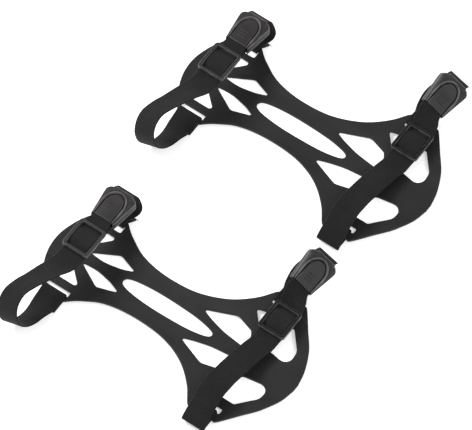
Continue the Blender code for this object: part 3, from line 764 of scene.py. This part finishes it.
def webbing_profile(ribs, depth):
    """Points round a strap: across, from -1 to 1, and half thickness, from -1 to 1.

    The thickness thins to a third at the edges along a quarter of an ellipse,
    and a groove of `depth` mm lies between two ribs.
    """
    v = np.linspace(-1, 1, ribs * RIB_STEPS + 1)
    edge = np.clip((1 - np.abs(v)) / 0.09, 0, 1)
    body = 0.35 + 0.65 * np.sqrt(1 - (1 - edge) ** 2)
    crown = np.abs(np.sin(np.pi * ribs * (v + 1) / 2)) ** 0.7
    body = body * (1 - depth / (WEB / 2) * (1 - crown))
    return np.concatenate([v, v[::-1]]), np.concatenate([body, -body[::-1]])


def webbing(rows, depth, ribs=RIBS, wave=0.12, frayed=0.5):
    """The webbing's surface on a route: points, faces and the run of each point.

    A point is the middle, plus the width's direction times half the width
    times v, plus the thickness's direction times half the thickness times
    the profile.  A slow wave moves the two edges by a tenth of a millimetre.
    The mark is one at the strap's last cut and fades over `frayed` mm.
    """
    rows = resampled(rows)
    centre, side, thick, along = strap_frames(rows)
    v, w = webbing_profile(ribs, depth)
    half = rows[:, 4:5] + wave * np.sin(along * 0.31)[:, None] * np.cos(along * 0.117)[:, None]
    across = half * v[None]
    deep = rows[:, 5:6] / 2 * w[None]
    points = centre[:, None] + side[:, None] * across[..., None] + thick[:, None] * deep[..., None]
    n, m = across.shape
    faces = grid_faces(n, m, wrap_columns=True).tolist()
    faces += [list(range(m)), list(range((n - 1) * m, n * m))]
    run = np.stack([across + 0 * along[:, None], np.broadcast_to(along[:, None], (n, m))], axis=-1)
    marks = np.repeat(1 - smooth_step(along[-1] - along, 0.3 * frayed, frayed), m)
    return points.reshape(-1, 3), faces, run.reshape(-1, 2), marks


# %% [markdown]
# ## Where the straps go
#
# The routes repeat the CAD's, with the middle of the webbing 0.95 mm off each
# bar that it goes round.  Below a slider a strap runs flat, and a short piece
# of its own over the slider's centre bar moves with the slider.  In that way
# the strap stays whole when the slider is pushed along it.

# %% Places of the hardware
SPOTS = {
    "narrow": {"slider": (-33.6, -1.2, 29.2), "buckle": (-33.0, 19.6, 23.6), "pitch": 0.0, "roll": 0.0},
    "wide": {"slider": (115.2, 35.0, 8.6), "buckle": (110.4, 66.1, 10.35), "pitch": 13.0, "roll": 30.0},
}
EAR_BAR = {"narrow": (36.5, 41.0), "wide": (51.0, 58.0)}
TONGUE_BAR = (3.0, 5.6, 3.1, 4.9)
SOCKET_BAR = (25.6, 27.4, 2.4, 4.2)
SLIDER_REACH = 13.6
MOUTH_REACH = -3.5
PLY = 1.32


def round_bar(near, far, low, high):
    """The (y, z) route over a bar from `far`, round its edge at `near`, and back below."""
    r = GAP + WEB / 2 + 0.05
    middle, last = (0, -90) if near > far else (180, 270)
    return np.vstack([[(far, high + r)], arc(near, high, r, 90, middle, 3),
                      arc(near, low, r, middle, last, 3), [(far, low - r)]])


def along_y(points, x, roll=0.0, half=WEB_HALF, thick=WEB):
    """Route rows from (y, z) points, all at one x."""
    points = np.asarray(points, float)
    rest = np.broadcast_to((roll, half, thick), (len(points), 3))
    return np.column_stack([np.full(len(points), x), points, rest])


def full(rows):
    """Route rows from (x, y, z, roll), or with a half width of their own, as thick as the webbing."""
    rows = [(*row, WEB_HALF)[:5] for row in rows]
    return np.column_stack([rows, np.full(len(rows), WEB)])


def leaning(spot, points, half=WEB_HALF):
    """Route rows from (y, z) points of a buckle's own middle plane, rolled with the buckle."""
    where = turned(np.column_stack([np.zeros(len(points)), points]), spot)
    rest = np.broadcast_to((-spot["roll"], half, WEB), (len(points), 3))
    return np.column_stack([where, rest])


def between(first, last, count=3):
    """So many rows on the straight way from one row to another, with an even twist."""
    share = np.linspace(0, 1, count + 2)[1:-1, None]
    return first + share * (last - first)


def pinched(rows, y, z, half, inner, outer):
    """Rows whose half width closes to `half` within `inner` mm of (y, z), and opens by `outer` mm."""
    away = np.hypot(rows[:, 1] - y, rows[:, 2] - z)
    rows[:, 4] = np.minimum(rows[:, 4], half + (WEB_HALF - half) * smooth_step(away, inner, outer))
    return rows


# %% The long straps
def through_hardware(spot):
    """Flat below the slider, round the tongue's bar, and back below itself to the slider."""
    x, y, z = spot["slider"]
    y0, y1, z0, z1 = TONGUE_BAR
    low = z - GAP - WEB / 2
    flat = along_y([(y + step, low) for step in (-SLIDER_REACH, -7.0, 0.0, 7.0, SLIDER_REACH)], x)
    turn = leaning(spot, round_bar(y1, MOUTH_REACH, z0, z1))
    back = along_y([(y + step, low - PLY) for step in (SLIDER_REACH, 7.0, 2.0)], x)
    rows = np.vstack([flat, between(flat[-1], turn[0]), turn, between(turn[-1], back[0]), back])
    bar = leaning(spot, [((y0 + y1) / 2, (z0 + z1) / 2)])[0]
    return pinched(rows, bar[1], bar[2], 7.5, 3.2, 11.0)


def long_strap(end):
    """From below the ear's bar, round it, out and over in a loop, and through the hardware."""
    inner, outer = EAR_BAR[end]
    eye = round_bar(-inner, -outer, EAR_LIFT, EAR_LIFT + PLATE_THICK)[::-1]
    if end == "narrow":
        start = along_y(np.vstack([[(-51.0, LYING), (-46.0, LYING)], eye]), -35.0)
        loop = [(-35.0, -44.6, 3.4, 0), (-34.8, -49.5, 2.7, 3), (-34.6, -55.5, 4.0, 16),
                (-34.8, -62.0, 5.4, 26), (-36.0, -69.5, 6.2, 27), (-38.4, -77.0, 9.4, 27),
                (-41.4, -81.6, 15.6, 26), (-45.0, -80.4, 22.6, 25), (-47.6, -74.6, 28.6, 24),
                (-48.0, -66.8, 31.8, 23), (-45.6, -58.0, 32.7, 21), (-42.0, -48.5, 32.3, 18),
                (-38.2, -37.5, 31.0, 11), (-35.2, -28.5, 29.0, 3), (-33.8, -21.5, 28.3, 0)]
    else:
        start = along_y(np.vstack([[(-65.0, LYING), (-61.0, LYING)], eye]), 110.0)
        loop = [(110.0, -61.4, 3.2, 0), (110.6, -65.5, 2.6, 0), (111.4, -68.6, 3.3, 0),
                (111.8, -69.0, 5.2, 0), (111.6, -66.0, 6.8, 0), (111.0, -59.6, 8.4, 0),
                (110.4, -51.6, 12.0, 0), (110.2, -43.0, 15.4, 0), (110.4, -33.5, 15.6, 0),
                (110.8, -22.5, 13.4, 0), (111.6, -9.5, 10.4, 0), (113.2, 4.5, 8.0, 0),
                (114.8, 12.0, 7.68, 0)]
    return np.vstack([start, full(loop), through_hardware(SPOTS[end])])


# %% The short straps
def short_strap(end):
    """From below the socket's end bar, round it, out of the buckle, and down to the ear."""
    spot = SPOTS[end]
    inner, outer = EAR_BAR[end]
    y0, y1, z0, z1 = SOCKET_BAR
    turn = leaning(spot, round_bar(y0, y1 + 1.6, z0, z1), 8.5)[::-1]
    eye = round_bar(inner, outer, EAR_LIFT, EAR_LIFT + PLATE_THICK)
    if end == "narrow":
        drop = [(-32.0, 50.6, 27.2, 0, 8.8), (-30.2, 51.4, 22.4, -3, 9.4), (-28.6, 50.8, 15.5, -5, 9.6),
                (-29.8, 48.2, 9.4, -3, 9.6), (-32.6, 44.2, 5.8, 0, 9.5)]
        tail = [(-33.6, 42.8, LYING, 0, 9.4), (-31.4, 46.2, 1.2, 0, 9.6)]
        return np.vstack([turn, full(drop), along_y(eye, -34.6, half=9.2), full(tail)])
    drop = [(115.6, 95.8, 18.0, -27, 8.8), (113.8, 97.6, 13.6, -20, 9.2), (111.2, 97.6, 8.8, -12, 9.5),
            (108.2, 95.0, 4.4, -5), (105.8, 90.0, 1.7, 0), (104.6, 84.0, LYING, 0),
            (104.8, 76.0, LYING, 0), (106.2, 69.0, LYING, 0), (108.6, 62.0, LYING, 0)]
    finish = along_y(np.vstack([eye[::-1], [(60.2, 4.2), (64.0, 3.0)]]), 109.4)
    return np.vstack([turn, full(drop), finish])


# %% [markdown]
# ## The straps
#
# A long strap starts on the guard and ends on the buckle's tongue, which
# pulls out of its socket. At the narrow end the stretch between them is the
# tall open loop, and at the wide end it is the slack stretch above the plate.
# The long strap is set down in the scene's frame and is not attached to a body;
# the short strap goes with the guard.

FRAYED = {"narrow": 4.5, "wide": 0.5}
STRAP_FINISH = {"narrow": flat_webbing, "wide": elastic_webbing}

for end in ENDS:
    long_points, long_faces, long_run, long_marks = webbing(long_strap(end), RIB_DEPTH[end])
    short_points, short_faces, short_run, short_marks = webbing(
        short_strap(end), RIB_DEPTH[end], frayed=FRAYED[end])
    print(end, "straps", len(long_faces), "and", len(short_faces), "faces")
    for hand in HANDS:
        name = f"{hand}_{end}"
        strap = piece(f"{name}_long_webbing", placed(long_points, hand), long_faces,
                      STRAP_FINISH[end], run=long_run, edge=long_marks)
        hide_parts(f"{name}_long_strap")
        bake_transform(strap)
        strap = piece(f"{name}_short_webbing", placed(short_points, hand), short_faces,
                      STRAP_FINISH[end], run=short_run, edge=short_marks)
        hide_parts(f"{name}_short_strap")
        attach(strap, f"{hand}_guard")


# %% [markdown]
# ## Sewing
#
# Each strap is sewn to itself where it comes back round its ear's bar, with
# three lines of zigzag.  A stitch is a short thread that dips into the webbing at
# both ends.  All stitches of a strap are one mesh: each is six sides round
# and five rings long.

# %% Stitches
def threads(starts, stops, up, radius, bow, rings=5, sides=6):
    """Thin threads, each from a start to a stop.

    A thread's middle is the straight way between its ends plus `bow` times
    half a sine wave along `up`, and it thins to a third at its ends.
    """
    t = np.linspace(0, 1, rings)[None, :, None]
    middle = starts[:, None] * (1 - t) + stops[:, None] * t + up[:, None] * bow * np.sin(np.pi * t)
    ahead = stops - starts
    ahead /= np.linalg.norm(ahead, axis=1)[:, None]
    side = np.cross(ahead, up)
    side /= np.linalg.norm(side, axis=1)[:, None]
    over = np.cross(side, ahead)
    a = np.linspace(0, math.tau, sides, endpoint=False)[None, None, :, None]
    thin = radius * (0.35 + 0.65 * np.sin(np.pi * t) ** 0.5)[..., None]
    points = middle[:, :, None] + thin * (np.cos(a) * side[:, None, None] + np.sin(a) * over[:, None, None])
    each = rings * sides
    tube = grid_faces(rings, sides, wrap_columns=True)
    faces = (tube[None] + each * np.arange(len(starts))[:, None, None]).reshape(-1, 4).tolist()
    for i in range(len(starts)):
        first, last = i * each, (i + 1) * each
        faces += [list(range(first, first + sides)), list(range(last - sides, last))]
    return points.reshape(-1, 3), faces


def zigzag(rows, near, face, lines=3, spacing=1.3, half=8.3, count=12):
    """Lines of zigzag across a strap, from the row nearest to a (y, z), on one of its faces."""
    rows = resampled(rows)
    centre, side, thick, along = strap_frames(rows)
    first = along[np.argmin(np.hypot(rows[:, 1] - near[0], rows[:, 2] - near[1]))]
    v = np.linspace(-half, half, count + 1)
    tooth = 0.32 * (-1.0) ** np.arange(count + 1)
    s = first + spacing * np.arange(lines)[:, None] + tooth[None]
    v = np.broadcast_to(v, s.shape)

    def at_run(values):
        return np.stack([np.interp(s, along, column) for column in values.T], axis=-1)

    where = at_run(centre + thick * face * (WEB / 2 - 0.06)) + at_run(side) * v[..., None]
    up = at_run(thick * face)
    return threads(where[:, :-1].reshape(-1, 3), where[:, 1:].reshape(-1, 3), up[:, :-1].reshape(-1, 3),
                   0.17, 0.16)


# where each strap is sewn: which half, near which (y, z), and on which face
SEWN = {"narrow": [("long", (-46.5, 3.0), 1), ("short", (49.6, 12.5), 1)],
        "wide": [("long", (-62.5, 3.0), 1), ("short", (62.5, 3.4), 1)]}

for end in ENDS:
    for half_name, near, face in SEWN[end]:
        route = long_strap(end) if half_name == "long" else short_strap(end)
        stitch_points, stitch_faces = zigzag(route, near, face)
        for hand in HANDS:
            sewn = piece(f"{hand}_{end}_{half_name}_stitches", placed(stitch_points, hand),
                         stitch_faces, sewing_thread)
            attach(sewn, f"{hand}_guard")
        print(end, half_name, "stitches", len(stitch_faces), "faces")

# %% [markdown]
# ## A frayed end
#
# The narrow end's short strap is cut off just past the ear and has frayed.
# Loose yarns leave the cut at odd angles, the longest at its outer corner.
# The numbers come from a seeded generator, so they are the same each time.

# %% Loose yarns
YARNS = 70
CUT_FROM, CUT_TO = (-40.8, 46.1, 1.2), (-22.0, 46.1, 1.2)

chance = np.random.default_rng(11)
share = np.sort(chance.random(YARNS)) ** 0.6
roots = np.array(CUT_FROM) * (1 - share[:, None]) + np.array(CUT_TO) * share[:, None]
roots[:, 2] += chance.uniform(-0.4, 0.4, YARNS)
aim = np.column_stack([chance.uniform(-0.2, 0.5, YARNS) + 0.9 * share ** 3,
                       chance.uniform(0.5, 1.0, YARNS), chance.uniform(-0.25, 0.6, YARNS)])
aim /= np.linalg.norm(aim, axis=1)[:, None]
reach = chance.uniform(0.7, 1.7, YARNS) + 1.4 * share ** 5
bend = np.column_stack([chance.uniform(-1, 1, YARNS), np.zeros(YARNS), np.ones(YARNS)])
yarn_points, yarn_faces = threads(roots - aim * 0.8, roots + aim * reach[:, None], bend, 0.13, 0.35)
yarn_points[:, 2] = np.maximum(yarn_points[:, 2], 0.12)
for hand in HANDS:
    fringe = piece(f"{hand}_narrow_short_fringe", placed(yarn_points, hand), yarn_faces, frayed_yarn)
    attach(fringe, f"{hand}_guard")
print("fringe", len(yarn_faces), "faces")

# %% [markdown]
# ## Sliders
#
# A slider is a rectangular ring of rounded bars with a thinner bar across its
# middle.  The strap goes below both end bars and over the middle one, so its
# hump shows in the window, a little below the top of the frame.

# %% A slider and its hump of strap
SLIDER_HALF, SLIDER_THICK = (11.4, 12.8), 3.3
WINDOW_HALF = (9.0, 10.7)
CENTRE_BAR = (9.6, 1.5)
HUMP, HUMP_REACH, HUMP_HALF, HUMP_THIN = 2.0, 11.6, 8.5, 0.35


def oblong(half_x, half_y, radius, centre=(0, 0)):
    """A rectangle's outline with round corners."""
    x, y = centre
    return rounded([(x - half_x, y - half_y), (x + half_x, y - half_y), (x + half_x, y + half_y),
                    (x - half_x, y + half_y)], radius)


def slider_parts():
    """The frame with its window, and the thin bar across it."""
    frame_part = rounded_sheet(even(oblong(*SLIDER_HALF, 2.4), 2.0), [even(oblong(*WINDOW_HALF, 1.2), 2.0)],
                               0.0, SLIDER_THICK, 0.6, steps=5)
    bar = rounded_sheet(oblong(*CENTRE_BAR, 0.4), [], 0.0, 1.0, 0.4)
    return joined([frame_part, bar])


def hump_rows(centre):
    """A short strap: flat and thin below the end bars, and an S up to HUMP over the middle bar."""
    x, y, z = centre
    along = np.linspace(-HUMP_REACH, HUMP_REACH, 25)
    over = 1 - smooth_step(np.abs(along), 2.6, 9.6)
    thick = HUMP_THIN + (WEB - HUMP_THIN) * np.clip(over * 5, 0, 1)
    level = np.zeros(len(along))
    return np.column_stack([level + x, y + along, z - 0.1 + HUMP * over, level, level + HUMP_HALF, thick])


# %% Make the sliders
# the wide end's sliders take the darker copy of the acetal, which paints shade on them
SLIDER_FINISH = {"narrow": slider_acetal, "wide": shaded_slider_acetal}
slider_points, slider_faces, slider_marks = slider_parts()
for end in ENDS:
    hump_points, hump_faces, hump_run, _ = webbing(hump_rows(SPOTS[end]["slider"]), 0.04, ribs=9)
    for hand in HANDS:
        name = f"{hand}_{end}"
        slider = piece(f"{name}_slider_frame", placed(slider_points + SPOTS[end]["slider"], hand),
                       slider_faces, SLIDER_FINISH[end], edge=slider_marks)
        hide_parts(f"{name}_slider")
        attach(slider, f"{name}_slider")
        hump = piece(f"{name}_slider_hump", placed(hump_points, hand), hump_faces, flat_webbing,
                     run=hump_run)
        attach(hump, f"{name}_slider")
print("slider", len(slider_faces), "faces")


# %% [markdown]
# ## The buckle's socket
#
# The socket is a moulded shell, 21 mm wide at its mouth and 26 mm at its
# shoulders.  Its deck has an arched window for the press panel, and a raised
# rim runs round the arch.  The shell is one profile carried round a horseshoe,
# from one side of the mouth to the other.  The profile starts inside, comes
# over the lip of the window and the rim, slopes to the shoulder, and goes
# down the wall past a parting ledge.

# %% The socket's plan
BUCKLE_LENGTH = 28.6
MOUTH, DOME_FROM = 0.4, 13.8
CHANNEL_HALF, CHANNEL_FAR = 9.0, 24.3
DECK_LOW = 6.7
WINDOW_HALF_WIDE, WINDOW_FAR = 7.88, 23.95
SHOULDER = (9.25, 23.25, 3.9)


def marked(points, marks, t):
    """Where a broken line is at each t, when it reaches its corners at the marks."""
    points = np.asarray(points, float)
    return np.column_stack([np.interp(t, marks, points[:, 0]), np.interp(t, marks, points[:, 1])])


def half_plan(t):
    """The channel's wall, the window's edge and the outline, from the mouth (0) to the far end (1)."""
    channel = marked([(CHANNEL_HALF, MOUTH), (CHANNEL_HALF, 14.6), (CHANNEL_HALF, CHANNEL_FAR),
                      (0, CHANNEL_FAR)], [0, 0.4, 0.6, 1.0], t)
    dome = np.radians(np.linspace(0, 90, 19))
    arch = np.column_stack([WINDOW_HALF_WIDE * np.cos(dome),
                            DOME_FROM + (WINDOW_FAR - DOME_FROM) * np.sin(dome)])
    window = marked(np.vstack([[(WINDOW_HALF_WIDE, MOUTH)], arch]),
                    np.concatenate([[0], np.linspace(0.4, 1.0, 19)]), t)
    side = [(10.3, MOUTH), (12.35, 15.8), (12.95, 20.6)]
    end = [(8.9, 27.15), (8.6, 27.8), (8.3, 28.35), (7.6, BUCKLE_LENGTH), (0, BUCKLE_LENGTH)]
    outline = marked(np.vstack([side, arc(*SHOULDER, 4, 84, 8), end]),
                     np.concatenate([[0, 0.40, 0.48], np.linspace(0.51, 0.70, 9),
                                     [0.74, 0.76, 0.78, 0.80, 1.0]]), t)
    return channel, window, outline


# %% The socket's shell
# each row: where it is measured from, distance from there in mm, height at the
# sides, height at the far end, extra height on the rim, and its painted highlight
SHELL = [
    ("channel", 0.0, 1.3, 6.05, 0.0, 0.0), ("channel", 0.0, 6.7, 6.1, 0.0, 0.0),
    ("window", 0.0, 6.7, 6.2, 0.0, 0.0), ("window", 0.0, 7.45, 7.45, 0.0, 0.4),
    ("window", 0.08, 7.75, 7.75, 0.0, 1.0), ("window", 0.35, 7.9, 7.9, 0.1, 0.6),
    ("window", 0.65, 7.92, 7.92, 0.40, 0.5), ("window", 0.95, 7.92, 7.92, 0.72, 1.0),
    ("window", 1.25, 7.90, 7.86, 0.85, 1.0), ("window", 1.55, 7.86, 7.70, 0.72, 1.0),
    ("window", 1.80, 7.80, 7.50, 0.35, 0.5), ("window", 2.05, 7.70, 7.30, 0.08, 0.2),
    ("window", 2.3, 7.60, 7.24, 0.0, 0.0),
    ("outline", 1.50, 7.40, 7.22, 0.0, 0.3), ("outline", 1.42, 6.72, 6.75, 0.0, 0.0),
    ("outline", 1.12, 6.68, 6.70, 0.0, 0.0), ("outline", 1.04, 6.98, 7.12, 0.0, 0.8),
    ("outline", 0.85, 6.80, 7.14, 0.0, 1.0), ("outline", 0.62, 6.35, 7.10, 0.0, 1.0),
    ("outline", 0.48, 5.8, 7.0, 0.0, 0.6),
    ("outline", 0.42, 5.1, 6.9, 0.0, 0.0), ("outline", 0.40, 3.1, 6.8, 0.0, 0.0),
    ("outline", 0.36, 2.5, 6.7, 0.0, 0.0), ("outline", 0.12, 2.35, 6.65, 0.0, 0.8),
    ("outline", 0.0, 2.1, 6.6, 0.0, 0.8), ("outline", 0.0, 0.45, 6.3, 0.0, 0.0),
    ("outline", 0.15, 0.12, 6.1, 0.0, 0.4), ("outline", 0.5, 0.0, 6.05, 0.0, 0.0),
    ("channel", 0.0, 0.0, 6.03, 0.0, 0.0),
]


BASE_HALF, BASE_TOP = 9.4, 1.3
BAR_HALF = 9.3
WALL, WALL_TOP = (22.0, 23.2), 4.9


def socket_shell():
    """The horseshoe: each profile point slides between the three plan lines as the path goes round."""
    t = np.concatenate([np.linspace(0, 0.4, 13)[:-1], np.linspace(0.4, 1.0, 37)])
    plan = half_plan(t)
    channel, window, outline = (np.vstack([line, line[::-1][1:] * (-1, 1)]) for line in plan)
    outward = outline - window
    room = np.linalg.norm(outward, axis=1)[:, None]
    outward /= room
    squeeze = np.minimum(1.0, (room - 1.4) / 2.6)
    at_end = smooth_step(outline[:, 1], 26.0, 27.3)
    on_rim = smooth_step(window[:, 1], 4.0, 11.0)
    flat, heights, edge_light = [], [], []
    for line, distance, side_z, end_z, rim, bright in SHELL:
        base = {"channel": channel, "window": window + outward * distance * squeeze,
                "outline": outline - outward * distance}[line]
        flat.append(base)
        heights.append(side_z + (end_z - side_z) * at_end + rim * on_rim)
        edge_light.append(np.full(len(t) * 2 - 1, bright))
    points = np.concatenate([np.stack(flat, axis=1), np.stack(heights, axis=1)[..., None]], axis=2)
    n, m = points.shape[:2]
    faces = grid_faces(n, m, wrap_columns=True).tolist()
    faces += [list(range(m)), list(range((n - 1) * m, n * m))]
    return points.reshape(-1, 3), faces, np.stack(edge_light, axis=1).ravel()


def block(x0, x1, y0, y1, z0, z1, corner=0.5, edge=0.3):
    """A box whose upright corners and whose rims are rounded."""
    outline = oblong((x1 - x0) / 2, (y1 - y0) / 2, corner, ((x0 + x1) / 2, (y0 + y1) / 2))
    return rounded_sheet(outline, [], z0, z1, edge, steps=3)


def socket_parts():
    """The shell, its floor, the wall at the channel's far end, and the strap's bar."""
    y0, y1, z0, z1 = SOCKET_BAR
    return joined([socket_shell(),
                   block(-BASE_HALF, BASE_HALF, 0.45, WALL[1], 0.02, BASE_TOP, 0.7, 0.3),
                   block(-BAR_HALF, BAR_HALF, *WALL, 0.6, WALL_TOP, 0.5, 0.2),
                   block(-BAR_HALF, BAR_HALF, y0, y1, z0, z1, 0.7, 0.7)])


# %% [markdown]
# ## Tongue and press panel
#
# The tongue is a flat bar with the strap's slot at its near end and two hooks
# at its far end.  The panel above it is what a finger presses.  It is a grid
# over a rounded arch, crowned across, with a shallow dish for the fingertip
# and three short ridges, and it rocks on a root below it.

# %% The tongue
TONGUE_HALF, TONGUE_FAR = 8.7, 19.4
STRAP_SLOT = (7.9, 2.6)
HOOK_AT, HOOK_HALF, HOOK_RUN, HOOK_TOP = 6.6, 1.1, (13.2, 17.4), 5.7


def tongue_parts():
    """The slab with the strap's slot, and two hooks."""
    y0, y1, z0, z1 = TONGUE_BAR
    slab = rounded([(-TONGUE_HALF, y0, 0.9), (TONGUE_HALF, y0, 0.9), (TONGUE_HALF, TONGUE_FAR, 3.0),
                    (-TONGUE_HALF, TONGUE_FAR, 3.0)], 1.0)
    half, run = STRAP_SLOT
    slot = rounded([(-half, y1), (half, y1), (half, y1 + run), (-half, y1 + run)], 0.5)
    hooks = [block(side - HOOK_HALF, side + HOOK_HALF, *HOOK_RUN, z1 - 0.4, HOOK_TOP, 0.4, 0.3)
             for side in (-HOOK_AT, HOOK_AT)]
    return joined([rounded_sheet(even(slab, 2.0), [even(slot, 2.0)], z0, z1, 0.4)] + hooks)


# %% The panel
PANEL_HALF, PANEL_START, PANEL_FAR = 7.05, 0.6, 23.0
DOME = PANEL_FAR - DOME_FROM
PANEL_TOP, PANEL_EDGE = 8.4, 0.55
HINGE = (9.6, 5.05)
RIDGES = (6.0, 8.6, 11.2)


def panel_surface():
    """The panel's skin as a function of u across and v along, and the same skin flat below it.

    The half width is constant up to the straight part's end and then follows
    half an ellipse.  The height is the top, less a crown that grows with the
    square of x, less a round fall near the rim, less a dish centred in the
    dome, plus a cosine bump for each ridge.
    """
    v = np.concatenate([PANEL_START + PANEL_EDGE * (1 - np.cos(np.linspace(0, np.pi / 2, 6)[:-1])),
                        np.linspace(PANEL_START + PANEL_EDGE, DOME_FROM, 81)[:-1],
                        DOME_FROM + DOME * np.sin(np.linspace(0, np.pi / 2, 25))])
    u = np.sin(np.linspace(-np.pi / 2, np.pi / 2, 47))
    far = np.clip((v - DOME_FROM) / DOME, 0, 1)
    half = PANEL_HALF * np.sqrt(1 - far ** 2)
    x, y = half[:, None] * u[None], np.broadcast_to(v[:, None], (len(v), len(u)))
    beyond = np.maximum(y - DOME_FROM, 0) * PANEL_HALF / DOME
    inner = np.minimum(PANEL_HALF - np.hypot(x, beyond), y - PANEL_START)
    depth = np.clip(PANEL_EDGE - inner, 0, PANEL_EDGE)
    fall = PANEL_EDGE - np.sqrt(np.maximum(PANEL_EDGE ** 2 - depth ** 2, 0))
    dish = 0.35 * np.exp(-((x / 4.6) ** 2 + ((y - 16.0) / 3.6) ** 2))
    ridge = sum(0.5 * np.cos(np.clip((y - at) / 0.6, -1, 1) * np.pi / 2) ** 2 for at in RIDGES)
    ridge = ridge * smooth_step(3.6 - np.abs(x), 0.0, 0.7)
    top = PANEL_TOP - 0.25 * (x / PANEL_HALF) ** 2 - fall - dish + ridge
    low = np.full_like(top, DECK_LOW)
    # the last grid says where the painted edge highlight goes: the fall at the rim and the ridges
    return x, y, top, low, np.clip(fall / PANEL_EDGE * 3, 0, 1) + np.clip(ridge * 0.6, 0, 1)


def two_skins(x, y, top, low, marks):
    """A closed solid from a grid's upper and lower heights, with a wall round their rims."""
    n, m = top.shape
    upper = np.stack([x, y, top], axis=-1).reshape(-1, 3)
    lower = np.stack([x, y, low], axis=-1).reshape(-1, 3)
    skin = grid_faces(n, m)
    index = np.arange(n * m).reshape(n, m)
    rim = np.concatenate([index[0], index[1:, -1], index[-1, -2::-1], index[-2:0:-1, 0]])
    nxt = np.roll(rim, -1)
    wall = np.column_stack([rim, nxt, nxt + n * m, rim + n * m])
    faces = np.vstack([skin, skin[:, ::-1] + n * m, wall])
    return np.vstack([upper, lower]), faces.tolist(), np.concatenate([marks.ravel(), np.zeros(n * m)])


def panel_parts():
    """The panel and the root that it rocks on."""
    root = block(-6.0, 6.0, HINGE[0] - 0.7, HINGE[0] + 0.7, HINGE[1] + 0.15, DECK_LOW + 0.4, 0.3, 0.2)
    return joined([two_skins(*panel_surface()), root])


# %% Make the buckles
BUCKLE_PIECES = [("socket_shell", "buckle_socket", "guard", socket_parts()),
                 ("tongue_bar", "buckle_tongue", "tongue", tongue_parts()),
                 ("press_panel", "release_panel", "release", panel_parts())]
for hand in HANDS:
    for end in ENDS:
        spot = SPOTS[end]
        for name, node, body, (points, faces, marks) in BUCKLE_PIECES:
            made = piece(f"{hand}_{end}_{name}", placed(turned(points, spot), hand), faces, buckle_acetal,
                         edge=marks)
            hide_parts(f"{hand}_{end}_{node}")
            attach(made, f"{hand}_guard" if body == "guard" else f"{hand}_{end}_{body}")
print({name: len(faces) for name, _, _, (_, faces, _) in BUCKLE_PIECES})


# %% [markdown]
# ## The floor
#
# A plain white floor, a hair below the plates.  It is not part of the object.

# %% Floor
floor_finish = bpy.data.materials.new("floor_white")
floor_finish.use_nodes = True
floor_shader = floor_finish.node_tree.nodes["Principled BSDF"]
floor_shader.inputs["Base Color"].default_value = (0.93, 0.93, 0.93, 1.0)
floor_shader.inputs["Roughness"].default_value = 0.9
floor_shader.inputs["Emission Color"].default_value = (1.0, 1.0, 1.0, 1.0)
floor_shader.inputs["Emission Strength"].default_value = 0.45
FLOOR_HALF, FLOOR_DROP = 6.0, -0.0002
corners = [(x * FLOOR_HALF, y * FLOOR_HALF, FLOOR_DROP) for x, y in ((-1, -1), (1, -1), (1, 1), (-1, 1))]
floor = piece("floor", corners, [(0, 1, 2, 3)], floor_finish)
